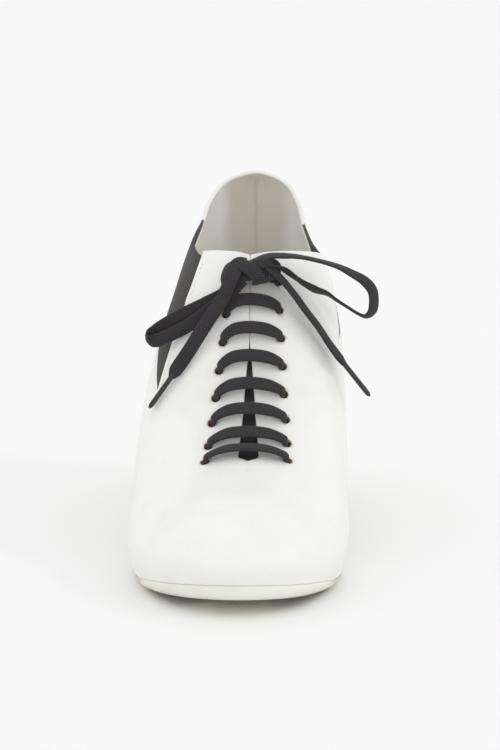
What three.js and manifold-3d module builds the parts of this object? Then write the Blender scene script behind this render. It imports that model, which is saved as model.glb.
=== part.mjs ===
import * as THREE from 'three';
import Module from 'manifold-3d';

const wasm = await Module();
wasm.setup();

// Right shoe. The toe points to -Y, the outer side of the foot is -X, the floor is z = 0,
// and the origin is the middle of the heel's ground face. All sizes are in millimetres.
const shoeLength = 233;
const ballWidth = 84;
const heelHeight = 74;
const toeSpring = 7;
const toeEdge = 6;
const soleThickness = 3.6;
const soleRounding = 1.6;
const wall = 1.8;
const backRise = 61;
const instepRise = 92;
const clearance = 0.3;

const heelSeatLength = 56;
const heelSeatWidth = 53;
const liftThickness = 5;
const liftLength = 40;
const liftWidth = 37;
const liftSetback = 8;

const insoleThickness = 2.4;
const tongueThickness = 1.5;
const tongueWidth = 40;
const tongueAbove = 3;
const tongueBelow = 9;
const goreThickness = 1.2;
const goreDrop = 1.2;
const goreMouth = 8;

const slitWidth = 0.9;
const slitMouth = 8.4;
const throatCorner = 6;
const holeDiameter = 3.4;
const laceWidth = 5.6;
const laceThickness = 1.3;
const laceRows = 8;
const laceSlack = 2.3;
const topSlack = 0.3;
const outerSag = 2.0;
const innerSag = 0.4;
const agletDiameter = 2.4;
const knotWidth = 19;
const knotHeight = 11;
const knotDepth = 6;
const knotLift = 0.5;
const knotRise = 1.4;
const knotSide = 1.2;
const outerSpreadLow = 16.8;
const outerSpreadTop = 9.4;
const innerSpreadLow = 17.0;
const innerSpreadTop = 12.6;

const ringsUp = 12;
const ribsPerSection = 3;

// The level distance from the heel's back to the middle of the lift sets the origin.
const liftCentre = liftSetback + liftLength / 2;
const yAt = (along) => liftCentre - along;
const alongAt = (y) => liftCentre - y;

// Height of the sole's underside, as shares of the heel height behind the ball
// and of the toe spring in front of it.
const archLine = [
  { at: 0.00, rise: 1.000 },
  { at: 0.06, rise: 0.978 },
  { at: 0.13, rise: 0.925 },
  { at: 0.20, rise: 0.840 },
  { at: 0.28, rise: 0.700 },
  { at: 0.36, rise: 0.530 },
  { at: 0.44, rise: 0.350 },
  { at: 0.50, rise: 0.222 },
  { at: 0.56, rise: 0.110 },
  { at: 0.61, rise: 0.038 },
  { at: 0.65, rise: 0.008 },
  { at: 0.68, rise: 0.000 },
  { at: 0.76, rise: 0.000 },
];
const toeLine = [
  { at: 0.76, rise: 0.00 },
  { at: 0.82, rise: 0.12 },
  { at: 0.88, rise: 0.36 },
  { at: 0.94, rise: 0.66 },
  { at: 1.00, rise: 1.00 },
];

// The sole's thickness, from the heel seat to the toe.
const thicknessLine = [
  { at: 0.00, waist: 0.80, toe: 0 },
  { at: 0.20, waist: 0.80, toe: 0 },
  { at: 0.45, waist: 0.90, toe: 0 },
  { at: 0.65, waist: 1.00, toe: 0 },
  { at: 0.80, waist: 1.00, toe: 0.15 },
  { at: 0.92, waist: 1.00, toe: 0.70 },
  { at: 1.00, waist: 1.00, toe: 1.00 },
];

// Height of the last's top ridge over the sole, as a share of the instep rise.
const ridgeLine = [
  { at: 0.000, rise: 0.780 },
  { at: 0.085, rise: 0.815 },
  { at: 0.170, rise: 0.880 },
  { at: 0.255, rise: 0.985 },
  { at: 0.320, rise: 1.045 },
  { at: 0.385, rise: 1.050 },
  { at: 0.447, rise: 1.000 },
  { at: 0.510, rise: 0.900 },
  { at: 0.575, rise: 0.775 },
  { at: 0.640, rise: 0.630 },
  { at: 0.700, rise: 0.500 },
  { at: 0.765, rise: 0.440 },
  { at: 0.834, rise: 0.390 },
  { at: 0.915, rise: 0.320 },
  { at: 1.000, rise: 0.225 },
];

// Sections of the last, from the toe tip to the heel's back. foot is where a section meets the
// sole and spine where it meets the ridge, as shares of the length: at both ends the sections
// fan out around one point. The outline is a share of the ball width on each side, and belly
// and shoulder are shares of the section's own reach, at two heights.
const sections = [
  { foot: 1.000, spine: 0.834, outer: -0.008, inner: -0.008,
    bellyOut: 1.02, bellyIn: 1.02, shoulderOut: 0.70, shoulderIn: 0.70 },
  { foot: 0.985, spine: 0.834, outer: -0.170, inner: 0.156,
    bellyOut: 1.02, bellyIn: 1.02, shoulderOut: 0.70, shoulderIn: 0.70 },
  { foot: 0.944, spine: 0.834, outer: -0.318, inner: 0.298,
    bellyOut: 1.02, bellyIn: 1.02, shoulderOut: 0.70, shoulderIn: 0.71 },
  { foot: 0.876, spine: 0.834, outer: -0.438, inner: 0.404,
    bellyOut: 1.02, bellyIn: 1.03, shoulderOut: 0.71, shoulderIn: 0.73 },
  { foot: 0.806, spine: 0.806, outer: -0.500, inner: 0.462,
    bellyOut: 1.03, bellyIn: 1.03, shoulderOut: 0.72, shoulderIn: 0.75 },
  { foot: 0.715, spine: 0.715, outer: -0.525, inner: 0.478,
    bellyOut: 1.04, bellyIn: 1.06, shoulderOut: 0.76, shoulderIn: 0.80 },
  { foot: 0.630, spine: 0.630, outer: -0.500, inner: 0.444,
    bellyOut: 1.08, bellyIn: 1.14, shoulderOut: 0.82, shoulderIn: 0.92 },
  { foot: 0.536, spine: 0.536, outer: -0.440, inner: 0.370,
    bellyOut: 1.19, bellyIn: 1.34, shoulderOut: 0.84, shoulderIn: 1.12 },
  { foot: 0.443, spine: 0.443, outer: -0.384, inner: 0.308,
    bellyOut: 1.26, bellyIn: 1.54, shoulderOut: 0.80, shoulderIn: 1.29 },
  { foot: 0.349, spine: 0.349, outer: -0.342, inner: 0.284,
    bellyOut: 1.21, bellyIn: 1.50, shoulderOut: 0.76, shoulderIn: 1.20 },
  { foot: 0.255, spine: 0.255, outer: -0.326, inner: 0.298,
    bellyOut: 1.10, bellyIn: 1.20, shoulderOut: 0.69, shoulderIn: 0.84 },
  { foot: 0.170, spine: 0.172, outer: -0.325, inner: 0.332,
    bellyOut: 0.99, bellyIn: 1.00, shoulderOut: 0.63, shoulderIn: 0.61 },
  { foot: 0.098, spine: 0.136, outer: -0.298, inner: 0.326,
    bellyOut: 0.98, bellyIn: 0.98, shoulderOut: 0.67, shoulderIn: 0.60 },
  { foot: 0.036, spine: 0.136, outer: -0.195, inner: 0.234,
    bellyOut: 1.00, bellyIn: 1.00, shoulderOut: 0.75, shoulderIn: 0.70 },
  { foot: 0.006, spine: 0.136, outer: 0.022, inner: 0.022,
    bellyOut: 1.03, bellyIn: 1.03, shoulderOut: 0.83, shoulderIn: 0.83 },
];

// How far the ridge, and with it the slit, stands inwards of the heel's middle line.
const ridgeSideLine = [
  { at: 0.00, side: 0.018 },
  { at: 0.40, side: 0.014 },
  { at: 0.70, side: 0.026 },
  { at: 1.00, side: 0.026 },
];
const bellyHeight = 0.38;
const shoulderHeight = 0.80;

// The top line and the gores' edges in side view: shares of the length and heights over the
// sole, the back part's as shares of the back rise and the front part's of the instep rise.
const backTop = [
  { at: -0.030, rise: 1.06 },
  { at: 0.020, rise: 1.03 },
  { at: 0.045, rise: 1.00 },
  { at: 0.070, rise: 0.955 },
  { at: 0.100, rise: 0.905 },
  { at: 0.140, rise: 0.850 },
];
const outerFrontTop = [
  { at: 0.405, rise: 0.905 },
  { at: 0.425, rise: 0.955 },
  { at: 0.440, rise: 0.985 },
  { at: 0.453, rise: 1.010 },
  { at: 0.600, rise: 1.500 },
];
const innerFrontTop = [
  { at: 0.345, rise: 0.735 },
  { at: 0.365, rise: 0.800 },
  { at: 0.395, rise: 0.880 },
  { at: 0.430, rise: 0.965 },
  { at: 0.453, rise: 1.010 },
  { at: 0.600, rise: 1.500 },
];
const outerGoreTip = { at: 0.552, rise: 0.590 };
const innerGoreTip = { at: 0.470, rise: 0.658 };

// Monotone cubic through the rows of a table, so that a flat row pair stays flat.
function lineValue(rows, column, at) {
  const last = rows.length - 1;
  const found = rows.findIndex((row, i) => i < last && at <= rows[i + 1].at);
  const base = found < 0 ? last - 1 : found;
  const slope = (i) => (rows[i + 1][column] - rows[i][column]) / (rows[i + 1].at - rows[i].at);
  const tangent = (i) => {
    if (i === 0) return slope(0);
    if (i === last) return slope(last - 1);
    const before = slope(i - 1);
    const after = slope(i);
    return before * after <= 0 ? 0 : (2 * before * after) / (before + after);
  };
  const step = rows[base + 1].at - rows[base].at;
  const t = Math.max(0, Math.min(1, (at - rows[base].at) / step));
  const t2 = t * t;
  const t3 = t2 * t;
  return (
    (2 * t3 - 3 * t2 + 1) * rows[base][column] +
    (t3 - 2 * t2 + t) * step * tangent(base) +
    (3 * t2 - 2 * t3) * rows[base + 1][column] +
    (t3 - t2) * step * tangent(base + 1)
  );
}

function underside(along) {
  const at = along / shoeLength;
  return at < archLine[archLine.length - 1].at
    ? heelHeight * lineValue(archLine, 'rise', at)
    : toeSpring * lineValue(toeLine, 'rise', at);
}

function soleTop(along) {
  const at = along / shoeLength;
  const extra = (toeEdge - soleThickness) * lineValue(thicknessLine, 'toe', at);
  return underside(along) + soleThickness * lineValue(thicknessLine, 'waist', at) + extra;
}

const footHeight = (along) => soleTop(along) + clearance;
function ridgeHeight(along) {
  return soleTop(along) + instepRise * lineValue(ridgeLine, 'rise', along / shoeLength);
}

// The sections as one closed loop: toe tip, outer side, heel, inner side.
const outerSide = sections.map((row) => ({
  foot: row.foot, spine: row.spine, side: row.outer, belly: row.bellyOut, shoulder: row.shoulderOut,
}));
const innerSide = sections.map((row) => ({
  foot: row.foot, spine: row.spine, side: row.inner, belly: row.bellyIn, shoulder: row.shoulderIn,
}));
const loop = [...outerSide, ...innerSide.slice(1, -1).reverse()];
const ribCount = loop.length * ribsPerSection;

function cubic(a, b, c, d, t) {
  return b + 0.5 * t * (c - a + t * (2 * a - 5 * b + 4 * c - d + t * (3 * (b - c) + d - a)));
}

function loopValue(column, s) {
  const k = Math.floor(s);
  const row = (i) => loop[((i % loop.length) + loop.length) % loop.length][column];
  return cubic(row(k - 1), row(k), row(k + 1), row(k + 2), s - k);
}

// The foot point and the spine point of the section at s, level and in the shoe's own frame.
function footPoint(s, inset = 0) {
  const sideAt = (u) => loopValue('side', u) * ballWidth;
  const at = (u) => new THREE.Vector2(sideAt(u), yAt(loopValue('foot', u) * shoeLength));
  const point = at(s);
  const along = at(s + 0.05).sub(at(s - 0.05)).normalize();
  return point.add(new THREE.Vector2(along.y, -along.x).multiplyScalar(inset));
}

// The spine runs straight from one section to the next, so that each fan keeps its one centre.
function spineAlong(s) {
  const k = Math.floor(s);
  const row = (i) => loop[i % loop.length].spine;
  return (row(k) + (row(k + 1) - row(k)) * (s - k)) * shoeLength;
}

const ridgeX = (along) => ballWidth * lineValue(ridgeSideLine, 'side', along / shoeLength);
const spinePoint = (s) => new THREE.Vector2(ridgeX(spineAlong(s)), yAt(spineAlong(s)));

// A point of the upper's outside: s goes around the shoe and q up from the sole to the ridge.
function skin(s, q) {
  const foot = footPoint(s);
  const spine = spinePoint(s);
  const belly = loopValue('belly', s);
  const shoulder = loopValue('shoulder', s);
  const outs = [0.94, 1, belly, shoulder, 0, -shoulder];
  const ups = [-bellyHeight, 0, bellyHeight, shoulderHeight, 1, shoulderHeight];
  const k = Math.min(2, Math.floor(q * 3));
  const t = q * 3 - k;
  const out = cubic(outs[k], outs[k + 1], outs[k + 2], outs[k + 3], t);
  const up = cubic(ups[k], ups[k + 1], ups[k + 2], ups[k + 3], t);
  const place = foot.clone().sub(spine).multiplyScalar(out).add(spine);
  const bottom = footHeight(alongAt(foot.y));
  const top = ridgeHeight(alongAt(place.y));
  return new THREE.Vector3(place.x, place.y, bottom + (top - bottom) * up);
}

function ring(point) {
  return Array.from({ length: ribCount }, (_, i) => point(i / ribsPerSection));
}

const keyOf = (p) => `${p.x.toFixed(3)},${p.y.toFixed(3)},${p.z.toFixed(3)}`;

// A closed solid through rings of points, the first and the last closed onto themselves.
function ringSolid(rings) {
  const count = rings[0].length;
  const numbers = new Map();
  const points = [];
  const numberOf = (p) => {
    const key = keyOf(p);
    if (!numbers.has(key)) {
      numbers.set(key, points.length);
      points.push(p);
    }
    return numbers.get(key);
  };
  const grid = rings.map((row) => row.map(numberOf));
  const faces = [];
  const addFace = (a, b, c) => {
    if (a !== b && b !== c && c !== a) faces.push([a, b, c]);
  };
  for (let r = 0; r < grid.length - 1; r += 1) {
    for (let i = 0; i < count; i += 1) {
      const j = (i + 1) % count;
      addFace(grid[r][i], grid[r][j], grid[r + 1][j]);
      addFace(grid[r][i], grid[r + 1][j], grid[r + 1][i]);
    }
  }
  const signed = ([a, b, c]) => points[a].dot(points[b].clone().cross(points[c]));
  const volume = faces.reduce((sum, face) => sum + signed(face), 0);
  const triangles = volume < 0 ? faces.map(([a, b, c]) => [a, c, b]) : faces;
  return new wasm.Manifold(new wasm.Mesh({
    numProp: 3,
    vertProperties: Float32Array.from(points.flatMap((p) => [p.x, p.y, p.z])),
    triVerts: Uint32Array.from(triangles.flat()),
  }));
}

// A closed solid from a three.js geometry whose corners share positions.
function geometrySolid(geometry) {
  const flat = geometry.index ? geometry.toNonIndexed() : geometry;
  const place = flat.attributes.position;
  const numbers = new Map();
  const points = [];
  const faces = [];
  for (let i = 0; i < place.count; i += 3) {
    const face = [0, 1, 2].map((corner) => {
      const p = new THREE.Vector3().fromBufferAttribute(place, i + corner);
      const key = keyOf(p);
      if (!numbers.has(key)) {
        numbers.set(key, points.length);
        points.push(p);
      }
      return numbers.get(key);
    });
    if (face[0] !== face[1] && face[1] !== face[2] && face[2] !== face[0]) faces.push(...face);
  }
  return new wasm.Manifold(new wasm.Mesh({
    numProp: 3,
    vertProperties: Float32Array.from(points.flatMap((p) => [p.x, p.y, p.z])),
    triVerts: Uint32Array.from(faces),
  }));
}

function solidGeometry(solid) {
  const mesh = solid.getMesh();
  const geometry = new THREE.BufferGeometry();
  const xyz = new Float32Array((mesh.vertProperties.length / mesh.numProp) * 3);
  for (let i = 0; i < xyz.length / 3; i += 1) {
    const first = mesh.numProp * i;
    xyz.set(mesh.vertProperties.subarray(first, first + 3), 3 * i);
  }
  geometry.setAttribute('position', new THREE.BufferAttribute(xyz, 3));
  geometry.setIndex(new THREE.BufferAttribute(Uint32Array.from(mesh.triVerts), 1));
  geometry.computeVertexNormals();
  return geometry;
}

// A prism through the shoe from side to side, from points given along the shoe and up.
function sidePrism(points, fromX, toX) {
  const shape = new THREE.Shape(points.map((p) => new THREE.Vector2(yAt(p.along), p.z)));
  const geometry = new THREE.ExtrudeGeometry(shape, { depth: toX - fromX, bevelEnabled: false });
  geometry.applyMatrix4(new THREE.Matrix4().set(0, 0, 1, fromX, 1, 0, 0, 0, 0, 1, 0, 0, 0, 0, 0, 1));
  return geometrySolid(geometry);
}

// A prism straight up through the shoe, from points given across the shoe and along it.
function planPrism(points, fromZ, toZ) {
  const shape = new THREE.Shape(points.map((p) => new THREE.Vector2(p.x, yAt(p.along))));
  const geometry = new THREE.ExtrudeGeometry(shape, { depth: toZ - fromZ, bevelEnabled: false });
  geometry.translate(0, 0, fromZ);
  return geometrySolid(geometry);
}

// The upper's outside as rings from the sole to the ridge, and the same moved in by a depth.
const outsideRings = Array.from({ length: ringsUp + 1 }, (_, r) => ring((s) => skin(s, r / ringsUp)));

function movedIn(depth) {
  const normals = new Map();
  const add = (a, b, c) => {
    const face = b.clone().sub(a).cross(c.clone().sub(a));
    for (const p of [a, b, c]) {
      const key = keyOf(p);
      normals.set(key, (normals.get(key) ?? new THREE.Vector3()).add(face));
    }
  };
  for (let r = 0; r < ringsUp; r += 1) {
    for (let i = 0; i < ribCount; i += 1) {
      const j = (i + 1) % ribCount;
      add(outsideRings[r][i], outsideRings[r][j], outsideRings[r + 1][j]);
      add(outsideRings[r][i], outsideRings[r + 1][j], outsideRings[r + 1][i]);
    }
  }
  const crown = normals.get(keyOf(outsideRings[ringsUp][Math.floor(ribCount / 2)]));
  const inward = crown.z > 0 ? -1 : 1;
  return outsideRings.map((row) => row.map((p) => {
    const normal = normals.get(keyOf(p)).clone().normalize();
    return p.clone().addScaledVector(normal, inward * depth);
  }));
}

// The last's closed form moved in by a depth, its underside dropped by another.
function lastForm(depth, drop) {
  const rings = movedIn(depth);
  const low = rings[0].map((p) => new THREE.Vector3(p.x, p.y, footHeight(alongAt(p.y)) - drop));
  const middle = low.map((p, i) => {
    const spine = spinePoint(i / ribsPerSection);
    const x = (p.x + spine.x) / 2;
    const y = (p.y + spine.y) / 2;
    return new THREE.Vector3(x, y, footHeight(alongAt(y)) - drop);
  });
  const closing = low.map((_, i) => {
    const spine = spinePoint(i / ribsPerSection);
    return new THREE.Vector3(spine.x, spine.y, footHeight(alongAt(spine.y)) - drop);
  });
  return ringSolid(drop > 0 ? [closing, middle, low, ...rings] : [closing, middle, ...rings]);
}

// The point of the skin at a distance along the shoe and a distance out from the ridge,
// measured over the skin, with its normal and the direction up the instep.
function skinAt(along, reach) {
  const half = loop.length / 2;
  let low = 0;
  let high = half;
  for (let n = 0; n < 40; n += 1) {
    const s = (low + high) / 2;
    if (spineAlong(s) > along) low = s;
    else high = s;
  }
  const s = reach < 0 ? low : loop.length - low;
  let q = 1;
  let gone = 0;
  let here = skin(s, q);
  while (gone < Math.abs(reach) && q > 0.3) {
    q -= 0.002;
    const next = skin(s, q);
    gone += next.distanceTo(here);
    here = next;
  }
  const across = skin(s, q - 0.01).sub(skin(s, Math.min(1, q + 0.01)));
  const lengthwise = skin(s + 0.03, q).sub(skin(s - 0.03, q));
  const normal = across.cross(lengthwise).normalize();
  if (normal.z < 0) normal.negate();
  return { point: here, normal };
}

// The outline of the sole at an inset, closed onto its spine at both faces.
function soleSolid(inset, bottom, top, rounding) {
  const face = (share, trim, height) => ring((s) => {
    const foot = footPoint(s, inset + trim);
    const spine = spinePoint(s);
    const x = spine.x + (foot.x - spine.x) * share;
    const y = spine.y + (foot.y - spine.y) * share;
    return new THREE.Vector3(x, y, height(alongAt(y)));
  });
  const raised = (share) => (along) => bottom(along) + rounding * share;
  const edge = rounding > 0
    ? [face(1, rounding, bottom), face(1, 0.3 * rounding, raised(0.3)), face(1, 0, raised(1))]
    : [face(1, 0, bottom)];
  const under = [face(0, 0, bottom), face(0.5, 0, bottom)];
  const over = [face(1, 0, top), face(0.5, 0, top), face(0, 0, top)];
  return ringSolid([...under, ...edge, ...over]);
}

// Collar, gore and slit cuts.
const overSole = (along, rise) => footHeight(along) + rise;
const backSteps = 14;
const backPoints = Array.from({ length: backSteps + 1 }, (_, i) => {
  const last = backTop[backTop.length - 1].at;
  const at = backTop[0].at + ((last - backTop[0].at) * i) / backSteps;
  return {
    along: at * shoeLength,
    z: overSole(Math.max(0, at * shoeLength), lineValue(backTop, 'rise', at) * backRise),
  };
});
const frontPoints = (rows) => rows.map((row) => ({
  along: row.at * shoeLength,
  z: overSole(row.at * shoeLength, row.rise * instepRise),
}));
const outerFront = frontPoints(outerFrontTop);
const innerFront = frontPoints(innerFrontTop);
const goreBack = backPoints[backPoints.length - 1];
const skyHeight = heelHeight + backRise + instepRise;
const [outerTip, innerTip] = frontPoints([outerGoreTip, innerGoreTip]);
const middle = ridgeX(outerFront[3].along);

function collarCut(front, fromX, toX) {
  return sidePrism([
    ...backPoints,
    ...front,
    { along: front[front.length - 1].along, z: skyHeight },
    { along: backPoints[0].along, z: skyHeight },
  ], fromX, toX);
}

// The gore's wedge in side view, narrowed on each slanted side by a margin.
function goreWedge(front, tip, margin, lift) {
  const centre = {
    along: (goreBack.along + front.along + tip.along) / 3,
    z: (goreBack.z + front.z + tip.z) / 3,
  };
  const edges = [[goreBack, tip], [tip, front], [front, goreBack]];
  const moved = edges.map(([from, to], i) => {
    const dx = to.along - from.along;
    const dz = to.z - from.z;
    const size = Math.hypot(dx, dz);
    const normal = { along: -dz / size, z: dx / size };
    const inward = (centre.along - from.along) * normal.along + (centre.z - from.z) * normal.z > 0 ? 1 : -1;
    const shift = inward * (i === 2 ? lift : margin);
    return { along: from.along + normal.along * shift, z: from.z + normal.z * shift, dx, dz };
  });
  return moved.map((line, i) => {
    const other = moved[(i + 2) % 3];
    const cross = other.dx * line.dz - other.dz * line.dx;
    const t = ((line.along - other.along) * line.dz - (line.z - other.z) * line.dx) / cross;
    return { along: other.along + other.dx * t, z: other.z + other.dz * t };
  });
}

// The slit: nearly closed at the top, opening into a round-ended keyhole below.
const slitTop = outerFrontTop[3].at * shoeLength;
const slitEnd = 0.721 * shoeLength;
const slitOpens = 0.556 * shoeLength;

function slitOutline() {
  const radius = slitMouth / 2;
  const length = slitEnd - slitOpens;
  const half = [
    { out: slitWidth * 2.5, along: slitTop - throatCorner },
    { out: slitWidth * 1.7, along: slitTop + throatCorner * 0.05 },
    { out: slitWidth * 0.95, along: slitTop + throatCorner * 0.22 },
    { out: slitWidth / 2, along: slitTop + throatCorner / 2 },
    { out: slitWidth / 2, along: slitOpens },
    { out: radius * 0.21, along: slitOpens + length * 0.17 },
    { out: radius * 0.44, along: slitOpens + length * 0.34 },
    { out: radius * 0.62, along: slitOpens + length * 0.54 },
    { out: radius * 0.88, along: slitOpens + length * 0.76 },
    { out: radius, along: slitEnd - radius * 0.8 },
  ];
  const turn = [0.3, 0.55, 0.78].map((share) => ({
    out: radius * Math.cos((share * Math.PI) / 2),
    along: slitEnd - radius * 0.8 + radius * 0.8 * Math.sin((share * Math.PI) / 2),
  }));
  const edge = [...half, ...turn];
  const right = edge.map((p) => ({ x: ridgeX(p.along) + p.out, along: p.along }));
  const left = edge.map((p) => ({ x: ridgeX(p.along) - p.out, along: p.along })).reverse();
  return [...right, { x: ridgeX(slitEnd), along: slitEnd }, ...left];
}

const slitCut = planPrism(slitOutline(), soleThickness, skyHeight);

// Lace holes, a pair for each row, in lines that close up towards the top.
const lowRow = 0.705 * shoeLength;
const topRow = 0.476 * shoeLength;

function laceRow(index) {
  const share = index / (laceRows - 1);
  return {
    along: lowRow + (topRow - lowRow) * share,
    outer: outerSpreadLow + (outerSpreadTop - outerSpreadLow) * share,
    inner: innerSpreadLow + (innerSpreadTop - innerSpreadLow) * share,
  };
}

// A point on a lace row: share -1 is its outer hole and 1 its inner hole, both a little lower
// down the instep than the row's middle.
function rowPoint(row, share) {
  const reach = share * (share < 0 ? row.outer : row.inner);
  const sag = share < 0 ? outerSag : innerSag;
  return skinAt(row.along + sag * share ** 4, reach);
}

function laceHole(row, side) {
  const { point, normal } = rowPoint(row, side);
  const turn = new THREE.Quaternion().setFromUnitVectors(new THREE.Vector3(0, 1, 0), normal);
  const geometry = new THREE.CylinderGeometry(holeDiameter / 2, holeDiameter / 2, 8 * wall, 8);
  geometry.applyQuaternion(turn);
  geometry.translate(point.x, point.y, point.z);
  return geometrySolid(geometry);
}

const rows = Array.from({ length: laceRows }, (_, i) => laceRow(i));
const holes = rows.flatMap((row) => [laceHole(row, -1), laceHole(row, 1)]);

const shell = lastForm(0, 0).subtract(lastForm(wall, 12));
let upperSolid = shell
  .subtract(collarCut(outerFront, -ballWidth, middle))
  .subtract(collarCut(innerFront, middle, ballWidth))
  .subtract(sidePrism(goreWedge(outerFront[0], outerTip, 0, -goreMouth), -ballWidth, middle))
  .subtract(sidePrism(goreWedge(innerFront[0], innerTip, 0, -goreMouth), middle, ballWidth))
  .subtract(slitCut);
for (const hole of holes) upperSolid = upperSolid.subtract(hole);

// Elastic gores, set into the wall's thickness.
const goreInset = (wall - goreThickness) / 2;
const goreSheet = lastForm(goreInset, 2).subtract(lastForm(goreInset + goreThickness, 4));
const outerWedge = goreWedge(outerFront[0], outerTip, clearance, goreDrop);
const innerWedge = goreWedge(innerFront[0], innerTip, clearance, goreDrop);
const goreOuter = goreSheet.intersect(sidePrism(outerWedge, -ballWidth, middle));
const goreInner = goreSheet.intersect(sidePrism(innerWedge, middle, ballWidth));

// The tongue lies against the inside of the facings and shows through the slit.
const tongueDepth = wall + clearance;
const tongueSheet = lastForm(tongueDepth, 2).subtract(lastForm(tongueDepth + tongueThickness, 4));
const tongueTop = slitTop + tongueAbove;
const tongueEnd = slitEnd + tongueBelow;
const tongueAt = (share) => tongueTop + (tongueEnd - tongueTop) * share;
const tongueHalf = [
  { out: tongueWidth * 0.35, along: tongueAt(0) },
  { out: tongueWidth * 0.40, along: tongueAt(0.08) },
  { out: tongueWidth * 0.50, along: tongueAt(0.50) },
  { out: tongueWidth * 0.45, along: tongueAt(0.92) },
  { out: tongueWidth * 0.30, along: tongueAt(1) },
];
const tongueOutline = [
  ...tongueHalf.map((p) => ({ x: ridgeX(p.along) + p.out, along: p.along })),
  ...tongueHalf.map((p) => ({ x: ridgeX(p.along) - p.out, along: p.along })).reverse(),
];
const tongueFloor = soleThickness + insoleThickness;
const tongueSolid = tongueSheet.intersect(planPrism(tongueOutline, tongueFloor, skyHeight));

// Outsole and insole follow the same outline.
const outsoleSolid = soleSolid(0, underside, soleTop, soleRounding);
const insoleUnder = (along) => footHeight(along) + clearance / 2;
const insoleTop = (along) => insoleUnder(along) + insoleThickness;
const insoleSolid = soleSolid(wall + 2 * clearance, insoleUnder, insoleTop, 0);

// The block heel: a D-shaped section, wide at the seat and narrow at the lift.
const heelSections = [
  { height: 0.00, width: 1.00, length: 1.00, setback: 1.00 },
  { height: 0.18, width: 1.02, length: 1.01, setback: 0.90 },
  { height: 0.42, width: 1.10, length: 1.06, setback: 0.70 },
  { height: 0.70, width: 1.24, length: 1.16, setback: 0.42 },
  { height: 1.00, width: 1.40, length: 1.35, setback: 0.20 },
];
const heelSteps = 28;

function heelRing(row, heightAt, share = 1) {
  const width = row.height === 1 ? heelSeatWidth : liftWidth * row.width;
  const long = row.height === 1 ? heelSeatLength : liftLength * row.length;
  const back = liftSetback * row.setback;
  return Array.from({ length: heelSteps }, (_, i) => {
    const angle = (2 * Math.PI * (i + 0.5)) / heelSteps;
    const square = Math.cos(angle) > 0 ? 0.42 : 0.90;
    const forward = Math.sign(Math.cos(angle)) * Math.abs(Math.cos(angle)) ** square;
    const x = (share * width * Math.sign(Math.sin(angle)) * Math.abs(Math.sin(angle)) ** 0.8) / 2;
    const along = back + long / 2 + (share * long * forward) / 2;
    return new THREE.Vector3(x, yAt(along), heightAt(along));
  });
}

const liftTop = liftThickness;
const heelFoot = liftTop + clearance;
const seatUnder = (along) => underside(Math.max(0, along)) - clearance;
const heelHeightAt = (share) => (along) => heelFoot + (seatUnder(along) - heelFoot) * share;
const lowSection = heelSections[0];
const seatSection = heelSections[heelSections.length - 1];
const heelSolid = ringSolid([
  heelRing(lowSection, () => heelFoot, 0),
  ...heelSections.map((row) => heelRing(row, heelHeightAt(row.height))),
  heelRing(seatSection, seatUnder, 0.5),
  heelRing(seatSection, seatUnder, 0),
]);
const liftSolid = ringSolid([
  heelRing(lowSection, () => 0, 0),
  heelRing(lowSection, () => 0, 0.98),
  heelRing(lowSection, () => liftTop, 1),
  heelRing(lowSection, () => liftTop, 0),
]);

// A flat lace along a path, its width turned to a given direction where it starts.
function laceGeometry(points, widthWay, width, thickness, steps) {
  const path = new THREE.CatmullRomCurve3(points, false, 'centripetal');
  const frames = path.computeFrenetFrames(steps, false);
  const turn = Math.atan2(widthWay.dot(frames.binormals[0]), widthWay.dot(frames.normals[0]));
  const section = new THREE.Shape(Array.from({ length: 8 }, (_, i) => {
    const angle = (2 * Math.PI * (i + 0.5)) / 8;
    const flat = new THREE.Vector2(
      (Math.cos(angle) / Math.cos(Math.PI / 8)) * (width / 2),
      (Math.sin(angle) / Math.cos(Math.PI / 8)) * (thickness / 2),
    );
    return flat.rotateAround(new THREE.Vector2(), turn);
  }));
  return new THREE.ExtrudeGeometry(section, { steps, extrudePath: path, bevelEnabled: false });
}

function laceBar(index) {
  const row = laceRow(index);
  const slack = index === laceRows - 1 ? topSlack : laceSlack;
  const points = [-1.02, -0.72, -0.36, 0, 0.36, 0.72, 1.02].map((share) => {
    const { point, normal } = rowPoint(row, share);
    const lift = 1.33 * clearance + laceThickness / 2 + slack * Math.max(0, 1 - share * share);
    return point.clone().addScaledVector(normal, lift);
  });
  const ahead = skinAt(row.along - 1, 0.01).point.sub(skinAt(row.along + 1, 0.01).point).normalize();
  return laceGeometry(points, ahead, laceWidth, laceThickness, 10);
}

// The knot sits over the top row. Loops and ends start at its sides, and their points are
// distances from its middle.
const topSkin = skinAt(topRow, 0.01);
const upSlope = skinAt(topRow - 1, 0.01).point.sub(skinAt(topRow + 1, 0.01).point).normalize();
const across = new THREE.Vector3(1, 0, 0);
const outward = across.clone().cross(upSlope).normalize();
if (outward.y > 0) outward.negate();
const knotMiddle = topSkin.point.clone()
  .addScaledVector(outward, clearance * 2 + laceThickness + knotLift + knotDepth / 2)
  .addScaledVector(upSlope, knotRise)
  .addScaledVector(across, knotSide);

function knotPoint(side, up, out, beyond = 1.07) {
  const size = beyond / Math.hypot(side, up, out);
  return knotMiddle.clone()
    .addScaledVector(across, side * size * (knotWidth / 2))
    .addScaledVector(upSlope, up * size * (knotHeight / 2))
    .addScaledVector(outward, out * size * (knotDepth / 2));
}

function knotGeometry() {
  const ball = new THREE.SphereGeometry(1, 14, 10);
  ball.applyMatrix4(new THREE.Matrix4().makeBasis(
    across.clone().multiplyScalar(knotWidth / 2),
    outward.clone().multiplyScalar(knotDepth / 2),
    across.clone().cross(outward).multiplyScalar(knotHeight / 2),
  ));
  ball.translate(knotMiddle.x, knotMiddle.y, knotMiddle.z);
  return solidGeometry(geometrySolid(ball));
}

// The bow's points are distances from the knot's middle, given for a knot 19 wide.
const bowScale = knotWidth / 19;
const fromKnot = (x, y, z) => knotMiddle.clone().addScaledVector(new THREE.Vector3(x, y, z), bowScale);

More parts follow.
